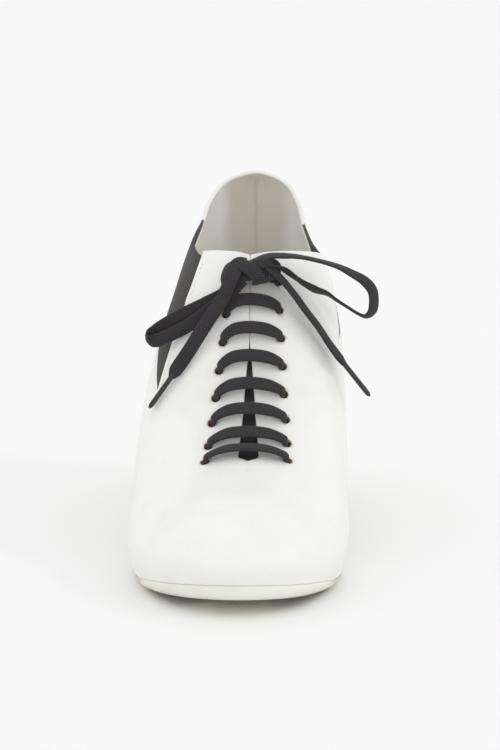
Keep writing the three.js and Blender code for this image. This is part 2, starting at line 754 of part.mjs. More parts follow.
const loopLeft = [
  knotPoint(-1, -0.15, 0.20, 1.24),
  fromKnot(-19.3, -4.5, -14.8),
  fromKnot(-28.8, -3.8, -20.2),
  fromKnot(-36.1, -3.0, -24.6),
  fromKnot(-41.4, -2.9, -27.8),
  fromKnot(-43.9, -4.5, -29.4),
  fromKnot(-41.0, -6.2, -30.4),
  fromKnot(-34.0, -7.5, -27.7),
  fromKnot(-26.7, -8.5, -23.9),
  fromKnot(-20.6, -8.2, -19.5),
  fromKnot(-15.4, -7.4, -15.8),
];
const endLeft = [
  knotPoint(-0.80, -0.80, 0.90, 1.30),
  fromKnot(-13.2, -11.2, -12.8),
  fromKnot(-18.0, -13.8, -20.2),
  fromKnot(-22.7, -15.2, -27.5),
  fromKnot(-26.8, -17.0, -33.8),
  fromKnot(-30.6, -18.8, -39.2),
  fromKnot(-32.9, -19.8, -42.7),
];
const loopRight = [
  knotPoint(1, 0.75, 0.05, 1.1),
  fromKnot(17.0, 0.4, 4.0),
  fromKnot(26.5, -0.4, 2.4),
  fromKnot(35.9, -2.8, 0.0),
  fromKnot(45.4, -5.8, -4.7),
  fromKnot(48.8, -7.0, -8.5),
  fromKnot(49.5, -7.6, -13.2),
  fromKnot(48.7, -7.2, -17.5),
  fromKnot(46.3, -6.4, -19.6),
  fromKnot(43.6, -5.6, -18.9),
  fromKnot(34.1, -1.6, -13.7),
  fromKnot(25.6, 0.6, -9.9),
  fromKnot(16.1, 0.8, -4.1),
  knotPoint(1, 0.05, -0.05, 1.1),
];
const endRight = [
  knotPoint(0.80, -0.75, 0.85, 1.26),
  fromKnot(17.1, -5.8, -10.9),
  fromKnot(26.7, -9.4, -23.1),
  fromKnot(36.2, -13.2, -36.2),
  fromKnot(37.6, -13.7, -38.0),
];

const tipLeft = fromKnot(-41.8, -22.0, -55.0);
const tipRight = fromKnot(48.1, -17.2, -50.5);

function aglet(points, tipPoint) {
  const [before, end] = points.slice(-2);
  const start = end.clone().addScaledVector(end.clone().sub(before).normalize(), clearance);
  const path = new THREE.CatmullRomCurve3([start, start.clone().lerp(tipPoint, 0.5), tipPoint]);
  const section = new THREE.Shape(Array.from({ length: 8 }, (_, i) => {
    const angle = (2 * Math.PI * i) / 8;
    return new THREE.Vector2(Math.cos(angle), Math.sin(angle)).multiplyScalar(agletDiameter / 2);
  }));
  return new THREE.ExtrudeGeometry(section, { steps: 3, extrudePath: path, bevelEnabled: false });
}

// A strand's width lies across the way from its first point to its second, facing the front.
function strand(points, facing, steps) {
  const way = points[1].clone().sub(points[0]).normalize();
  const width = way.clone().cross(facing).normalize();
  return laceGeometry(points, width, laceWidth, laceThickness, steps);
}

const forwards = new THREE.Vector3(0, -1, 0.3);
const upwards = new THREE.Vector3(0, 0.3, 1);
const sidewaysLeft = new THREE.Vector3(-0.5, -0.9, 0.2);
const sidewaysRight = new THREE.Vector3(0.9, -0.8, 0.2);

const leather = new THREE.MeshStandardMaterial({ color: 0xf2f1ea, roughness: 0.45, metalness: 0 });
const edgeLeather = new THREE.MeshStandardMaterial({ color: 0xe9e6d8, roughness: 0.55, metalness: 0 });
const liningLeather = new THREE.MeshStandardMaterial({ color: 0xcfc8b8, roughness: 0.7, metalness: 0 });
const blackLeather = new THREE.MeshStandardMaterial({ color: 0x151414, roughness: 0.6, metalness: 0 });
const elastic = new THREE.MeshStandardMaterial({ color: 0x2c2b2b, roughness: 0.9, metalness: 0 });
const cotton = new THREE.MeshStandardMaterial({ color: 0x2b2829, roughness: 0.9, metalness: 0 });
const agletPlastic = new THREE.MeshStandardMaterial({ color: 0x1d1c1d, roughness: 0.4, metalness: 0 });
const liftRubber = new THREE.MeshStandardMaterial({ color: 0x4a3f33, roughness: 0.8, metalness: 0 });

const shoe = new THREE.Group();

function addNode(name, geometry, material) {
  const mesh = new THREE.Mesh(geometry, material);
  mesh.name = name;
  shoe.add(mesh);
}

addNode('upper', solidGeometry(upperSolid), leather);
addNode('gore_lateral', solidGeometry(goreOuter), elastic);
addNode('gore_medial', solidGeometry(goreInner), elastic);
addNode('tongue', solidGeometry(tongueSolid), blackLeather);
addNode('insole', solidGeometry(insoleSolid), liningLeather);
addNode('outsole', solidGeometry(outsoleSolid), edgeLeather);
addNode('heel', solidGeometry(heelSolid), leather);
addNode('top_lift', solidGeometry(liftSolid), liftRubber);
for (let i = 0; i < laceRows; i += 1) {
  addNode(`lace_bar_${i + 1}`, laceBar(i), cotton);
}
addNode('lace_knot', knotGeometry(), cotton);
addNode('lace_loop_left', strand(loopLeft, forwards, 26), cotton);
addNode('lace_loop_right', strand(loopRight, upwards, 28), cotton);
addNode('lace_end_left', strand(endLeft, sidewaysLeft, 12), cotton);
addNode('lace_end_right', strand(endRight, sidewaysRight, 12), cotton);
addNode('aglet_left', aglet(endLeft, tipLeft), agletPlastic);
addNode('aglet_right', aglet(endRight, tipRight), agletPlastic);

export default shoe;
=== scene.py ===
import math

import bmesh
import bpy
from mathutils import Matrix, Vector
from mathutils.bvhtree import BVHTree


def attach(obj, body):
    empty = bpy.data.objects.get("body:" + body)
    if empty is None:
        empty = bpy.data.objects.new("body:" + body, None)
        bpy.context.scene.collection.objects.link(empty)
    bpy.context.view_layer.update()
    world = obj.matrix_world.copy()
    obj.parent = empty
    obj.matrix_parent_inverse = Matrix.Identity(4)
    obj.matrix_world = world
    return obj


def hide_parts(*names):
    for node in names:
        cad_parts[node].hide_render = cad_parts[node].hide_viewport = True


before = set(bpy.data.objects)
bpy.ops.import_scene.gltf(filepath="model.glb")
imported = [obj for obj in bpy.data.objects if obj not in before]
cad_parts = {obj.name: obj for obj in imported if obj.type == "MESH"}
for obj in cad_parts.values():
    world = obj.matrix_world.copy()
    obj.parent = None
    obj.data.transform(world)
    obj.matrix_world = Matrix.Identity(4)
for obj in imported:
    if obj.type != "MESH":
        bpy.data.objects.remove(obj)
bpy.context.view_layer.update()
root = "root"
print("frame loaded")


# camera: the photo's own standpoint, closer on the one shoe
view = {
    "place": (0.0485, -1.728, 0.437),
    "target": (0.001, -0.072, 0.067),
    "lens": 196,
    "sensor": 36,
}


def makeCamera():
    data = bpy.data.cameras.new("camera")
    camera = bpy.data.objects.new("camera", data)
    bpy.context.scene.collection.objects.link(camera)
    data.lens = view["lens"]
    data.sensor_width = view["sensor"]
    data.clip_end = 60
    camera.location = view["place"]
    way = Vector(view["target"]) - Vector(view["place"])
    camera.rotation_euler = way.to_track_quat("-Z", "Y").to_euler()
    bpy.context.scene.camera = camera


makeCamera()
print("camera set")

# the last: the same sizes and sections as the CAD source, in millimetres
last = {
    "length": 233,
    "ballWidth": 84,
    "heelHeight": 74,
    "toeSpring": 7,
    "toeEdge": 6,
    "soleThickness": 3.6,
    "wall": 1.8,
    "backRise": 61,
    "instepRise": 92,
    "clearance": 0.3,
    "liftCentre": 28,
    "bellyHeight": 0.38,
    "shoulderHeight": 0.80,
}
archLine = [
    (0.00, 1.000), (0.06, 0.978), (0.13, 0.925), (0.20, 0.840), (0.28, 0.700), (0.36, 0.530),
    (0.44, 0.350), (0.50, 0.222), (0.56, 0.110), (0.61, 0.038), (0.65, 0.008), (0.68, 0.0), (0.76, 0.0),
]
toeLine = [(0.76, 0.0), (0.82, 0.12), (0.88, 0.36), (0.94, 0.66), (1.00, 1.00)]
waistLine = [(0.0, 0.80), (0.20, 0.80), (0.45, 0.90), (0.65, 1.0), (0.80, 1.0), (1.0, 1.0)]
toeThickening = [(0.0, 0.0), (0.65, 0.0), (0.80, 0.15), (0.92, 0.70), (1.0, 1.0)]
ridgeLine = [
    (0.000, 0.780), (0.085, 0.815), (0.170, 0.880), (0.255, 0.985), (0.320, 1.045), (0.385, 1.050),
    (0.447, 1.000), (0.510, 0.900), (0.575, 0.775), (0.640, 0.630), (0.700, 0.500), (0.765, 0.440),
    (0.834, 0.390), (0.915, 0.320), (1.000, 0.225),
]
ridgeSide = [(0.00, 0.018), (0.40, 0.014), (0.70, 0.026), (1.00, 0.026)]
# foot, spine, outer, inner, belly out and in, shoulder out and in, from the toe to the heel's back
sections = [
    (1.000, 0.834, -0.008, -0.008, 1.02, 1.02, 0.70, 0.70),
    (0.985, 0.834, -0.170, 0.156, 1.02, 1.02, 0.70, 0.70),
    (0.944, 0.834, -0.318, 0.298, 1.02, 1.02, 0.70, 0.71),
    (0.876, 0.834, -0.438, 0.404, 1.02, 1.03, 0.71, 0.73),
    (0.806, 0.806, -0.500, 0.462, 1.03, 1.03, 0.72, 0.75),
    (0.715, 0.715, -0.525, 0.478, 1.04, 1.06, 0.76, 0.80),
    (0.630, 0.630, -0.500, 0.444, 1.08, 1.14, 0.82, 0.92),
    (0.536, 0.536, -0.440, 0.370, 1.19, 1.34, 0.84, 1.12),
    (0.443, 0.443, -0.384, 0.308, 1.26, 1.54, 0.80, 1.29),
    (0.349, 0.349, -0.342, 0.284, 1.21, 1.50, 0.76, 1.20),
    (0.255, 0.255, -0.326, 0.298, 1.10, 1.20, 0.69, 0.84),
    (0.170, 0.172, -0.325, 0.332, 0.99, 1.00, 0.63, 0.61),
    (0.098, 0.136, -0.298, 0.326, 0.98, 0.98, 0.67, 0.60),
    (0.036, 0.136, -0.195, 0.234, 1.00, 1.00, 0.75, 0.70),
    (0.006, 0.136, 0.022, 0.022, 1.03, 1.03, 0.83, 0.83),
]
outerLoop = [(r[0], r[1], r[2], r[4], r[6]) for r in sections]
innerLoop = [(r[0], r[1], r[3], r[5], r[7]) for r in sections]
loop = outerLoop + innerLoop[1:-1][::-1]
loopCount = len(loop)


def onLine(rows, at):  # monotone curve through the rows
    if at <= rows[0][0]:
        return rows[0][1]
    if at >= rows[-1][0]:
        return rows[-1][1]
    k = 0
    while rows[k + 1][0] < at:
        k += 1

    def slope(i):
        return (rows[i + 1][1] - rows[i][1]) / (rows[i + 1][0] - rows[i][0])

    def tangent(i):
        if i == 0:
            return slope(0)
        if i == len(rows) - 1:
            return slope(i - 1)
        before, after = slope(i - 1), slope(i)
        return 0 if before * after <= 0 else 2 * before * after / (before + after)

    step = rows[k + 1][0] - rows[k][0]
    t = (at - rows[k][0]) / step
    return (
        (2 * t**3 - 3 * t**2 + 1) * rows[k][1]
        + (t**3 - 2 * t**2 + t) * step * tangent(k)
        + (3 * t**2 - 2 * t**3) * rows[k + 1][1]
        + (t**3 - t**2) * step * tangent(k + 1)
    )


def squared(value, power):  # squares a round outline
    return math.copysign(abs(value) ** power, value)


def cubic(a, b, c, d, t):
    return b + 0.5 * t * (c - a + t * (2 * a - 5 * b + 4 * c - d + t * (3 * (b - c) + d - a)))


def underside(along):
    at = along / last["length"]
    if at < archLine[-1][0]:
        return last["heelHeight"] * onLine(archLine, at)
    return last["toeSpring"] * onLine(toeLine, at)


def soleTop(along):
    at = along / last["length"]
    extra = (last["toeEdge"] - last["soleThickness"]) * onLine(toeThickening, at)
    return underside(along) + last["soleThickness"] * onLine(waistLine, at) + extra


def footHeight(along):
    return soleTop(along) + last["clearance"]


def ridgeHeight(along):
    return soleTop(along) + last["instepRise"] * onLine(ridgeLine, along / last["length"])


def ridgeX(along):
    return last["ballWidth"] * onLine(ridgeSide, along / last["length"])


def yAt(along):
    return last["liftCentre"] - along


def loopValue(column, s):
    k = math.floor(s)
    row = [loop[(k + i) % loopCount][column] for i in (-1, 0, 1, 2)]
    return cubic(*row, s - k)


def footPoint(s, inset=0.0):
    def at(u):
        return Vector((loopValue(2, u) * last["ballWidth"], yAt(loopValue(0, u) * last["length"])))

    point = at(s)
    if inset:
        way = (at(s + 0.05) - at(s - 0.05)).normalized()
        point += Vector((way.y, -way.x)) * inset
    return point


def spineAlong(s):
    k = math.floor(s)
    a, b = loop[k % loopCount][1], loop[(k + 1) % loopCount][1]
    return (a + (b - a) * (s - k)) * last["length"]


def fromSpine(s, inset, share):
    along = spineAlong(s)
    spine = Vector((ridgeX(along), yAt(along)))
    return spine + (footPoint(s, inset) - spine) * share


def skin(s, q):  # a point of the upper's outside: s round the shoe, q up to the ridge
    belly, shoulder = loopValue(3, s), loopValue(4, s)
    outs = (0.94, 1, belly, shoulder, 0, -shoulder)
    low, high = last["bellyHeight"], last["shoulderHeight"]
    ups = (-low, 0, low, high, 1, high)
    k = min(2, int(q * 3))
    t = q * 3 - k
    out = cubic(*outs[k:k + 4], t)
    up = cubic(*ups[k:k + 4], t)
    place = fromSpine(s, 0.0, out)
    bottom = footHeight(yAt(footPoint(s).y))
    top = ridgeHeight(yAt(place.y))
    return Vector((place.x, place.y, bottom + (top - bottom) * up))


# the edges of the upper in side view
edges = {
    "backTop": [
        (-0.030, 1.06), (0.020, 1.03), (0.045, 1.00), (0.070, 0.955), (0.100, 0.905), (0.140, 0.850),
    ],
    "outerFront": [(0.405, 0.905), (0.425, 0.955), (0.440, 0.985), (0.453, 1.010), (0.600, 1.500)],
    "innerFront": [
        (0.345, 0.735), (0.365, 0.800), (0.395, 0.880), (0.430, 0.965), (0.453, 1.010), (0.600, 1.500),
    ],
    "outerTip": (0.552, 0.590),
    "innerTip": (0.470, 0.658),
    "slitTop": 0.440,
    "slitOpens": 0.556,
    "slitEnd": 0.721,
    "slitWidth": 0.12,
    "slitMouth": 8.4,
    "slitTopFlare": [(-6, 2.2), (0.3, 1.2), (1.6, 0.4), (3, 0)],  # past its top, wider by
    # share of the way down, share of the mouth
    "slitRows": [(0.05, 0.12), (0.11, 0.19), (0.34, 0.44), (0.54, 0.62), (0.76, 0.88)],
    "slitRound": 0.8,
    "collarEnds": 0.6,
    "lowestEdge": 0.30,
    "edgeStep": 0.01,
}


def overSole(at, rise, size):
    along = at * last["length"]
    return along, footHeight(max(0, along)) + rise * last[size]


def topLine(side, along):  # height of the collar and the throat's top edge
    at = along / last["length"]
    backEnd = edges["backTop"][-1]
    front = edges["outerFront"] if side < 0 else edges["innerFront"]
    if at <= backEnd[0]:
        return overSole(at, onLine(edges["backTop"], at), "backRise")[1]
    if at >= front[0][0]:
        return overSole(at, onLine(front, at), "instepRise")[1]
    fromAlong, fromZ = overSole(*backEnd, "backRise")
    toAlong, toZ = overSole(*front[0], "instepRise")
    return fromZ + (toZ - fromZ) * (along - fromAlong) / (toAlong - fromAlong)


def slitHalf(along):
    start, opens, end = (edges[k] * last["length"] for k in ("slitTop", "slitOpens", "slitEnd"))
    radius = edges["slitMouth"] / 2
    narrow = edges["slitWidth"] / 2
    if along < start + edges["slitTopFlare"][0][0] or along > end:
        return -1
    rows = [(start + past, narrow + more) for past, more in edges["slitTopFlare"]]
    rows.append((opens, narrow))
    rows += [(opens + (end - opens) * down, radius * share) for down, share in edges["slitRows"]]
    rows.append((end - radius * edges["slitRound"], radius))
    turn = along - rows[-1][0]
    if turn > 0:
        return radius * math.sqrt(max(0, 1 - (turn / (radius * edges["slitRound"])) ** 2))
    return onLine(rows, along)


def outside(side, p):  # whether a point of the skin lies in the collar's or the slit's opening
    along = yAt(p.y)
    if p.z > topLine(side, along) and along < edges["collarEnds"] * last["length"]:
        return True
    return abs(p.x - ridgeX(along)) < slitHalf(along)


def edgeShare(s):  # how far up the skin the leather reaches
    side = -1 if s % loopCount <= loopCount / 2 else 1
    low = edges["lowestEdge"]
    step = edges["edgeStep"]
    while low + step <= 1.0 + 1e-9 and not outside(side, skin(s, min(1, low + step))):
        low += step
    if low + step > 1.0 + 1e-9:
        return 1.0
    high = low + step
    for _ in range(14):
        mid = (low + high) / 2
        if outside(side, skin(s, mid)):
            high = mid
        else:
            low = mid
    return low


def skinNormal(s, q):
    across = skin(s, q - 0.01) - skin(s, min(1, q + 0.01))
    length = skin(s + 0.03, q) - skin(s - 0.03, q)
    return across.cross(length).normalized()


def walkDown(s, q, reach):  # the point that far down the skin and the normal there
    here, gone = skin(s, q), 0.0
    while gone < reach and q > 0.3:
        q -= 0.002
        there = skin(s, q)
        gone += (there - here).length
        here = there
    return here, skinNormal(s, q)


def skinAt(along, reach):  # a point at a distance along the shoe and one out from the ridge
    low, high = 0.0, loopCount / 2
    for _ in range(40):
        s = (low + high) / 2
        if spineAlong(s) > along:
            low = s
        else:
            high = s
    here, normal = walkDown(low if reach < 0 else loopCount - low, 1.0, abs(reach))
    if normal.z < 0:
        normal.negate()
    return here, normal


print("last shaped")


# materials
def newMaterial(name, base, roughness, coat=0.0, sheen=0.0):
    material = bpy.data.materials.new(name)
    material.use_nodes = True
    shader = material.node_tree.nodes["Principled BSDF"]
    shader.inputs["Base Color"].default_value = (*base, 1)
    shader.inputs["Roughness"].default_value = roughness
    shader.inputs["Coat Weight"].default_value = coat
    shader.inputs["Coat Roughness"].default_value = 0.35
    shader.inputs["Sheen Weight"].default_value = sheen
    return material, material.node_tree, shader


def addNode(tree, kind, **values):  # another node's output as a value is wired in
    node = tree.nodes.new(kind)
    for key, value in values.items():
        if isinstance(value, bpy.types.NodeSocket):
            tree.links.new(value, node.inputs[key])
        elif key in node.inputs:
            node.inputs[key].default_value = value
        else:
            setattr(node, key, value)
    return node


def objectPlace(tree, scale=(1, 1, 1), turn=(0, 0, 0), output="Object"):
    place = addNode(tree, "ShaderNodeTexCoord").outputs[output]
    return addNode(tree, "ShaderNodeMapping", Vector=place, Scale=scale, Rotation=turn).outputs["Vector"]


def mathNode(tree, operation, *values):
    node = addNode(tree, "ShaderNodeMath", operation=operation)
    for index, value in enumerate(values):
        tree.links.new(value, node.inputs[index])
    return node.outputs["Value"]


def mapRange(tree, value, **ends):
    node = addNode(tree, "ShaderNodeMapRange", Value=value)
    for name, number in ends.items():
        node.inputs[f"{name[:-3].title()} {name[-3:]}"].default_value = number
    return node.outputs["Result"]


def colourRamp(tree, factor, stops):
    ramp = addNode(tree, "ShaderNodeValToRGB", Fac=factor)
    ramp.color_ramp.elements[0].position = stops[0][0]
    ramp.color_ramp.elements[0].color = (*stops[0][1], 1)
    ramp.color_ramp.elements[1].position = stops[-1][0]
    ramp.color_ramp.elements[1].color = (*stops[-1][1], 1)
    for position, colour in stops[1:-1]:
        ramp.color_ramp.elements.new(position).color = (*colour, 1)
    return ramp.outputs["Color"]


def bumpChain(tree, shader, heights):
    normal = None
    for height, distance, strength in heights:
        bump = addNode(tree, "ShaderNodeBump", Distance=distance, Strength=strength, Height=height)
        if normal:
            tree.links.new(normal, bump.inputs["Normal"])
        normal = bump.outputs["Normal"]
    tree.links.new(normal, shader.inputs["Normal"])


leatherLook = {
    "light": (0.885, 0.882, 0.862),
    "shade": (0.850, 0.845, 0.820),
    "poreSize": 900,
    "grainSize": 520,
}


def leatherMaterial(name, light, shade, roughness, grain):
    material, tree, shader = newMaterial(name, light, roughness, coat=0.18)
    place = objectPlace(tree)
    soft = addNode(tree, "ShaderNodeTexNoise", Vector=place, Scale=38.0, Detail=3.0, Roughness=0.55)
    pores = addNode(tree, "ShaderNodeTexVoronoi", Vector=place, Scale=leatherLook["poreSize"])
    fine = addNode(tree, "ShaderNodeTexNoise", Vector=place, Scale=leatherLook["grainSize"], Detail=2.0)
    colour = colourRamp(tree, soft.outputs["Fac"], [(0.32, shade), (0.52, light), (0.8, light)])
    tree.links.new(colour, shader.inputs["Base Color"])
    rough = mapRange(tree, fine.outputs["Fac"], toMin=roughness - 0.06, toMax=roughness + 0.10)
    tree.links.new(rough, shader.inputs["Roughness"])
    bumpChain(tree, shader, [
        (soft.outputs["Fac"], 0.0010, 0.10),
        (pores.outputs["Distance"], 0.00022, 0.35 * grain),
        (fine.outputs["Fac"], 0.00014, 0.30 * grain),
    ])
    return material


whiteLeather = leatherMaterial("whiteLeather", leatherLook["light"], leatherLook["shade"], 0.42, 1.0)
edgePaint = leatherMaterial("edgePaint", (0.86, 0.845, 0.775), (0.79, 0.77, 0.69), 0.5, 0.5)
rawLeather = leatherMaterial("rawLeather", (0.62, 0.33, 0.14), (0.50, 0.25, 0.10), 0.7, 0.8)
liningLook = {
    # painted shade: the lining's colour down the middle of the back, darker where the back lies in shade
    "shadedBack": (0.78, 0.74, 0.665),
    "shade": (0.72, 0.675, 0.595),
    # painted light: the lining's sides, much lighter where light falls on them
    "side": (0.96, 0.95, 0.91),
    "seam": (0.70, 0.65, 0.57),
    "middle": 0.0012,  # the back seam's place across, in metres
    "waver": 0.003,
    "seamHalf": 0.0006,
    # half width of the painted shade strip down the back; past it the painted light of the sides
    "shadedHalf": 0.0105,
    "soft": 0.005,
}


def liningMaterial():  # painted shade down the middle of the back, painted light on the lining beside it, and a darker back seam line
    material = leatherMaterial("liningLeather", liningLook["shadedBack"], liningLook["shade"], 0.68, 1.2)
    tree = material.node_tree
    shader = tree.nodes["Principled BSDF"]
    colour = shader.inputs["Base Color"].links[0].from_socket
    place = addNode(tree, "ShaderNodeTexCoord").outputs["Object"]
    axes = addNode(tree, "ShaderNodeSeparateXYZ", Vector=place)
    noise = addNode(tree, "ShaderNodeTexNoise", Vector=place, Scale=45.0, Detail=2.0)
    middle, waver = liningLook["middle"], liningLook["waver"]
    shift = mapRange(tree, noise.outputs["Fac"], toMin=-middle - waver, toMax=-middle + waver)
    apart = mathNode(tree, "ABSOLUTE", mathNode(tree, "ADD", axes.outputs["X"], shift))
    # painted light on the sides beyond the painted shade strip, then the darker back seam
    for near, far, tint in (
        (liningLook["shadedHalf"], liningLook["shadedHalf"] + liningLook["soft"], "side"),
        (liningLook["seamHalf"] * 2, liningLook["seamHalf"], "seam"),
    ):
        share = mapRange(tree, apart, fromMin=near, fromMax=far)
        colour = addNode(
            tree, "ShaderNodeMixRGB", Fac=share, Color1=colour, Color2=(*liningLook[tint], 1),
        ).outputs["Color"]
    tree.links.new(colour, shader.inputs["Base Color"])
    return material


liningLeather = liningMaterial()
sockLeather = leatherMaterial("sockLeather", (0.80, 0.765, 0.70), (0.74, 0.70, 0.63), 0.68, 1.2)
soleEdge = leatherMaterial("soleEdge", (0.86, 0.85, 0.785), (0.80, 0.785, 0.71), 0.5, 0.4)
soleTread = leatherMaterial("soleTread", (0.86, 0.80, 0.62), (0.80, 0.73, 0.54), 0.7, 1.5)
tongueLeather = leatherMaterial("tongueLeather", (0.012, 0.011, 0.011), (0.008, 0.008, 0.008), 0.55, 1.2)
liftRubber = leatherMaterial("liftRubber", (0.075, 0.055, 0.040), (0.05, 0.036, 0.026), 0.75, 1.5)


def wovenMaterial(name, base, light, across, along, depth, slant):
    material, tree, shader = newMaterial(name, base, 0.85, sheen=0.08)
    shader.inputs["Sheen Roughness"].default_value = 0.4
    waves = []
    for sign in (1, -1):
        place = objectPlace(tree, scale=(along, across, 1), turn=(0, 0, sign * slant), output="UV")
        wave = addNode(tree, "ShaderNodeTexWave", Vector=place, Scale=1.0, Distortion=0.6, Detail=1.0)
        waves.append(wave.outputs["Fac"])
    both = mathNode(tree, "MAXIMUM", *waves)
    colour = colourRamp(tree, both, [(0.25, base), (0.95, light)])
    tree.links.new(colour, shader.inputs["Base Color"])
    fuzz = addNode(tree, "ShaderNodeTexNoise", Vector=objectPlace(tree), Scale=1600.0, Detail=3.0)
    bumpChain(tree, shader, [(both, depth, 0.8), (fuzz.outputs["Fac"], 0.0003, 0.4)])
    return material


def grainyMaterial(name, base, roughness, scale, detail, bump, **more):
    material, tree, shader = newMaterial(name, base, roughness, **more)
    noise = addNode(tree, "ShaderNodeTexNoise", Vector=objectPlace(tree), Scale=scale, Detail=detail)
    bumpChain(tree, shader, [(noise.outputs["Fac"], *bump)])
    return material


laceWeave = wovenMaterial(
    "laceWeave", (0.009, 0.008, 0.009), (0.036, 0.032, 0.036), 400, 400, 0.0003, 0.7,
)
goreWeave = wovenMaterial(
    "goreWeave", (0.022, 0.020, 0.019), (0.080, 0.074, 0.069), 190, 190, 0.0003, 0.0,
)
agletPlastic = grainyMaterial(
    "agletPlastic", (0.012, 0.012, 0.013), 0.35, 700.0, 3.0, (0.0002, 0.25), coat=0.3,
)
whiteThread = grainyMaterial(
    "whiteThread", (0.84, 0.83, 0.80), 0.6, 2400.0, 2.0, (0.0002, 0.5), sheen=0.2,
)
print("materials made")


# helpers for new pieces
def mappedGrid(columns, rows, place, joinRound=False):
    mesh = bmesh.new()
    bmesh.ops.create_grid(mesh, x_segments=columns, y_segments=rows, size=1.0)
    uvLayer = mesh.loops.layers.uv.new("weave")
    uvAt = {}
    for vert in mesh.verts:
        u = (vert.co.x + 1) / 2
        v = (vert.co.y + 1) / 2
        uvAt[vert.index] = (u, v)
    for face in mesh.faces:
        for corner in face.loops:
            corner[uvLayer].uv = uvAt[corner.vert.index]
    for vert in mesh.verts:
        vert.co = place(*uvAt[vert.index]) * 0.001
    if joinRound:
        bmesh.ops.remove_doubles(mesh, verts=mesh.verts, dist=0.00002)
    return mesh, uvLayer


def closedForm(columns, rows, place):
    mesh, _ = mappedGrid(columns, rows, place, True)
    bmesh.ops.recalc_face_normals(mesh, faces=mesh.faces)
    return mesh


def meshObject(name, mesh, materials):
    data = bpy.data.meshes.new(name)
    mesh.to_mesh(data)
    mesh.free()
    for material in materials:
        data.materials.append(material)
    piece = bpy.data.objects.new(name, data)
    bpy.context.scene.collection.objects.link(piece)
    return piece


def finishPiece(name, mesh, materials, nodes=(), smooth=True):
    for face in mesh.faces:
        face.smooth = smooth
    piece = meshObject(name, mesh, materials)
    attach(piece, root)
    if nodes:
        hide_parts(*nodes)
    return piece


def applyModifiers(piece):
    graph = bpy.context.evaluated_depsgraph_get()
    graph.update()
    baked = bpy.data.meshes.new_from_object(piece.evaluated_get(graph))
    piece.modifiers.clear()
    old = piece.data
    piece.data = baked
    bpy.data.meshes.remove(old)


def addModifier(piece, name, kind, **settings):
    modifier = piece.modifiers.new(name, kind)
    for key, value in settings.items():
        setattr(modifier, key, value)


def addWall(piece, thickness, **settings):  # inwards from the outside face
    addModifier(piece, "wall", "SOLIDIFY", thickness=thickness * 0.001, offset=-1, **settings)


def faceTowards(mesh, way):
    bmesh.ops.recalc_face_normals(mesh, faces=mesh.faces)
    if sum(f.normal.dot(way) for f in mesh.faces) < 0:
        bmesh.ops.reverse_faces(mesh, faces=mesh.faces)


# upper: one leather shell, conforming to its collar, throat and slit
upperShape = {
    "step": 1 / 12,
    "fineStep": 1 / 48,
    "rows": 54,
    "tuck": 0.7,  # the edge under the foot, in and down
    "tuckDown": 0.65,
    "rounding": 0.55,
    "fineFrom": 4.75,  # sections beside the throat, where ribs stand closer
    "fineRibs": 30,
    "cutReach": 0.006,  # the next values are in metres
    "middleStrip": 0.004,
    "mergeAll": 0.00012,
    "mergeBorder": 0.00055,
    "mergeInner": 0.0008,
}


def ribPlaces():
    places = [i * upperShape["step"] for i in range(round(loopCount / upperShape["step"]) + 1)]
    fine = [upperShape["fineFrom"] + i * upperShape["fineStep"] for i in range(upperShape["fineRibs"])]
    places += fine + [loopCount - s for s in fine]
    kept = []
    for s in sorted(places):
        if not kept or s - kept[-1] > 0.008:
            kept.append(s)
    return kept


ribs = ribPlaces()
ribEdges = [edgeShare(s) for s in ribs]
print("upper edge found", len(ribs))


def upperPoint(u, v):
    k = round(u * (len(ribs) - 1))
    s = ribs[k] % loopCount
    row = round(v * upperShape["rows"])
    if row == 0:
        p = skin(s, 0)
        foot = footPoint(s, upperShape["tuck"])
        return Vector((foot.x, foot.y, p.z - upperShape["tuckDown"]))
    share = (row - 1) / (upperShape["rows"] - 1)
    return skin(s, share * ribEdges[k])


def fullPoint(u, v):
    return skin(u * loopCount % loopCount, v)


skinGrid = (loopCount * 8, 40)
fullSkin, _ = mappedGrid(*skinGrid, fullPoint)
skinTree = BVHTree.FromBMesh(fullSkin)
fullSkin.free()


def onSide(side, along, z, depth=0.0):  # a point of side view put on the skin of that side
    start = Vector((side * 0.12, yAt(along) * 0.001, z * 0.001))
    hit, normal, _, _ = skinTree.ray_cast(start, Vector((-side, 0, 0)))
    if hit is None:
        return None, None
    if normal.x * side < 0:
        normal = -normal
    return hit - normal * depth * 0.001, normal


goreBack = overSole(*edges["backTop"][-1], "backRise")
goreCorners = {
    side: (goreBack, overSole(*edges[tip], "instepRise"), overSole(*edges[front][0], "instepRise"))
    for side, tip, front in ((-1, "outerTip", "outerFront"), (1, "innerTip", "innerFront"))
}


def inGore(side, y, z):
    points = [Vector((yAt(a), h)) for a, h in goreCorners[side]]
    here = Vector((y * 1000, z * 1000))
    if here.x > points[0].x:
        return False

    def turns(p):
        return [(b - a).x * (p - a).y - (b - a).y * (p - a).x for a, b in zip(points, points[1:])]

    centre = sum(points, Vector((0, 0))) / 3
    return all(s * w > 0 for s, w in zip(turns(here), turns(centre)))


def weldSlivers(mesh):  # thin faces along the gores' cut edges, so that the edge rounds cleanly
    def high(vert):
        return abs(vert.co.x) > 0.010 and vert.co.z > 0.05

    border = [v for v in mesh.verts if v.is_boundary and high(v)]
    bmesh.ops.remove_doubles(mesh, verts=border, dist=upperShape["mergeBorder"])
    border = [v for v in mesh.verts if v.is_boundary and high(v)]
    inner = [v for v in mesh.verts if not v.is_boundary and high(v)]
    near = bmesh.ops.find_doubles(
        mesh, verts=border + inner, keep_verts=border, dist=upperShape["mergeInner"],
    )
    bmesh.ops.weld_verts(mesh, targetmap=near["targetmap"])
    bmesh.ops.dissolve_degenerate(mesh, edges=mesh.edges, dist=0.00005)


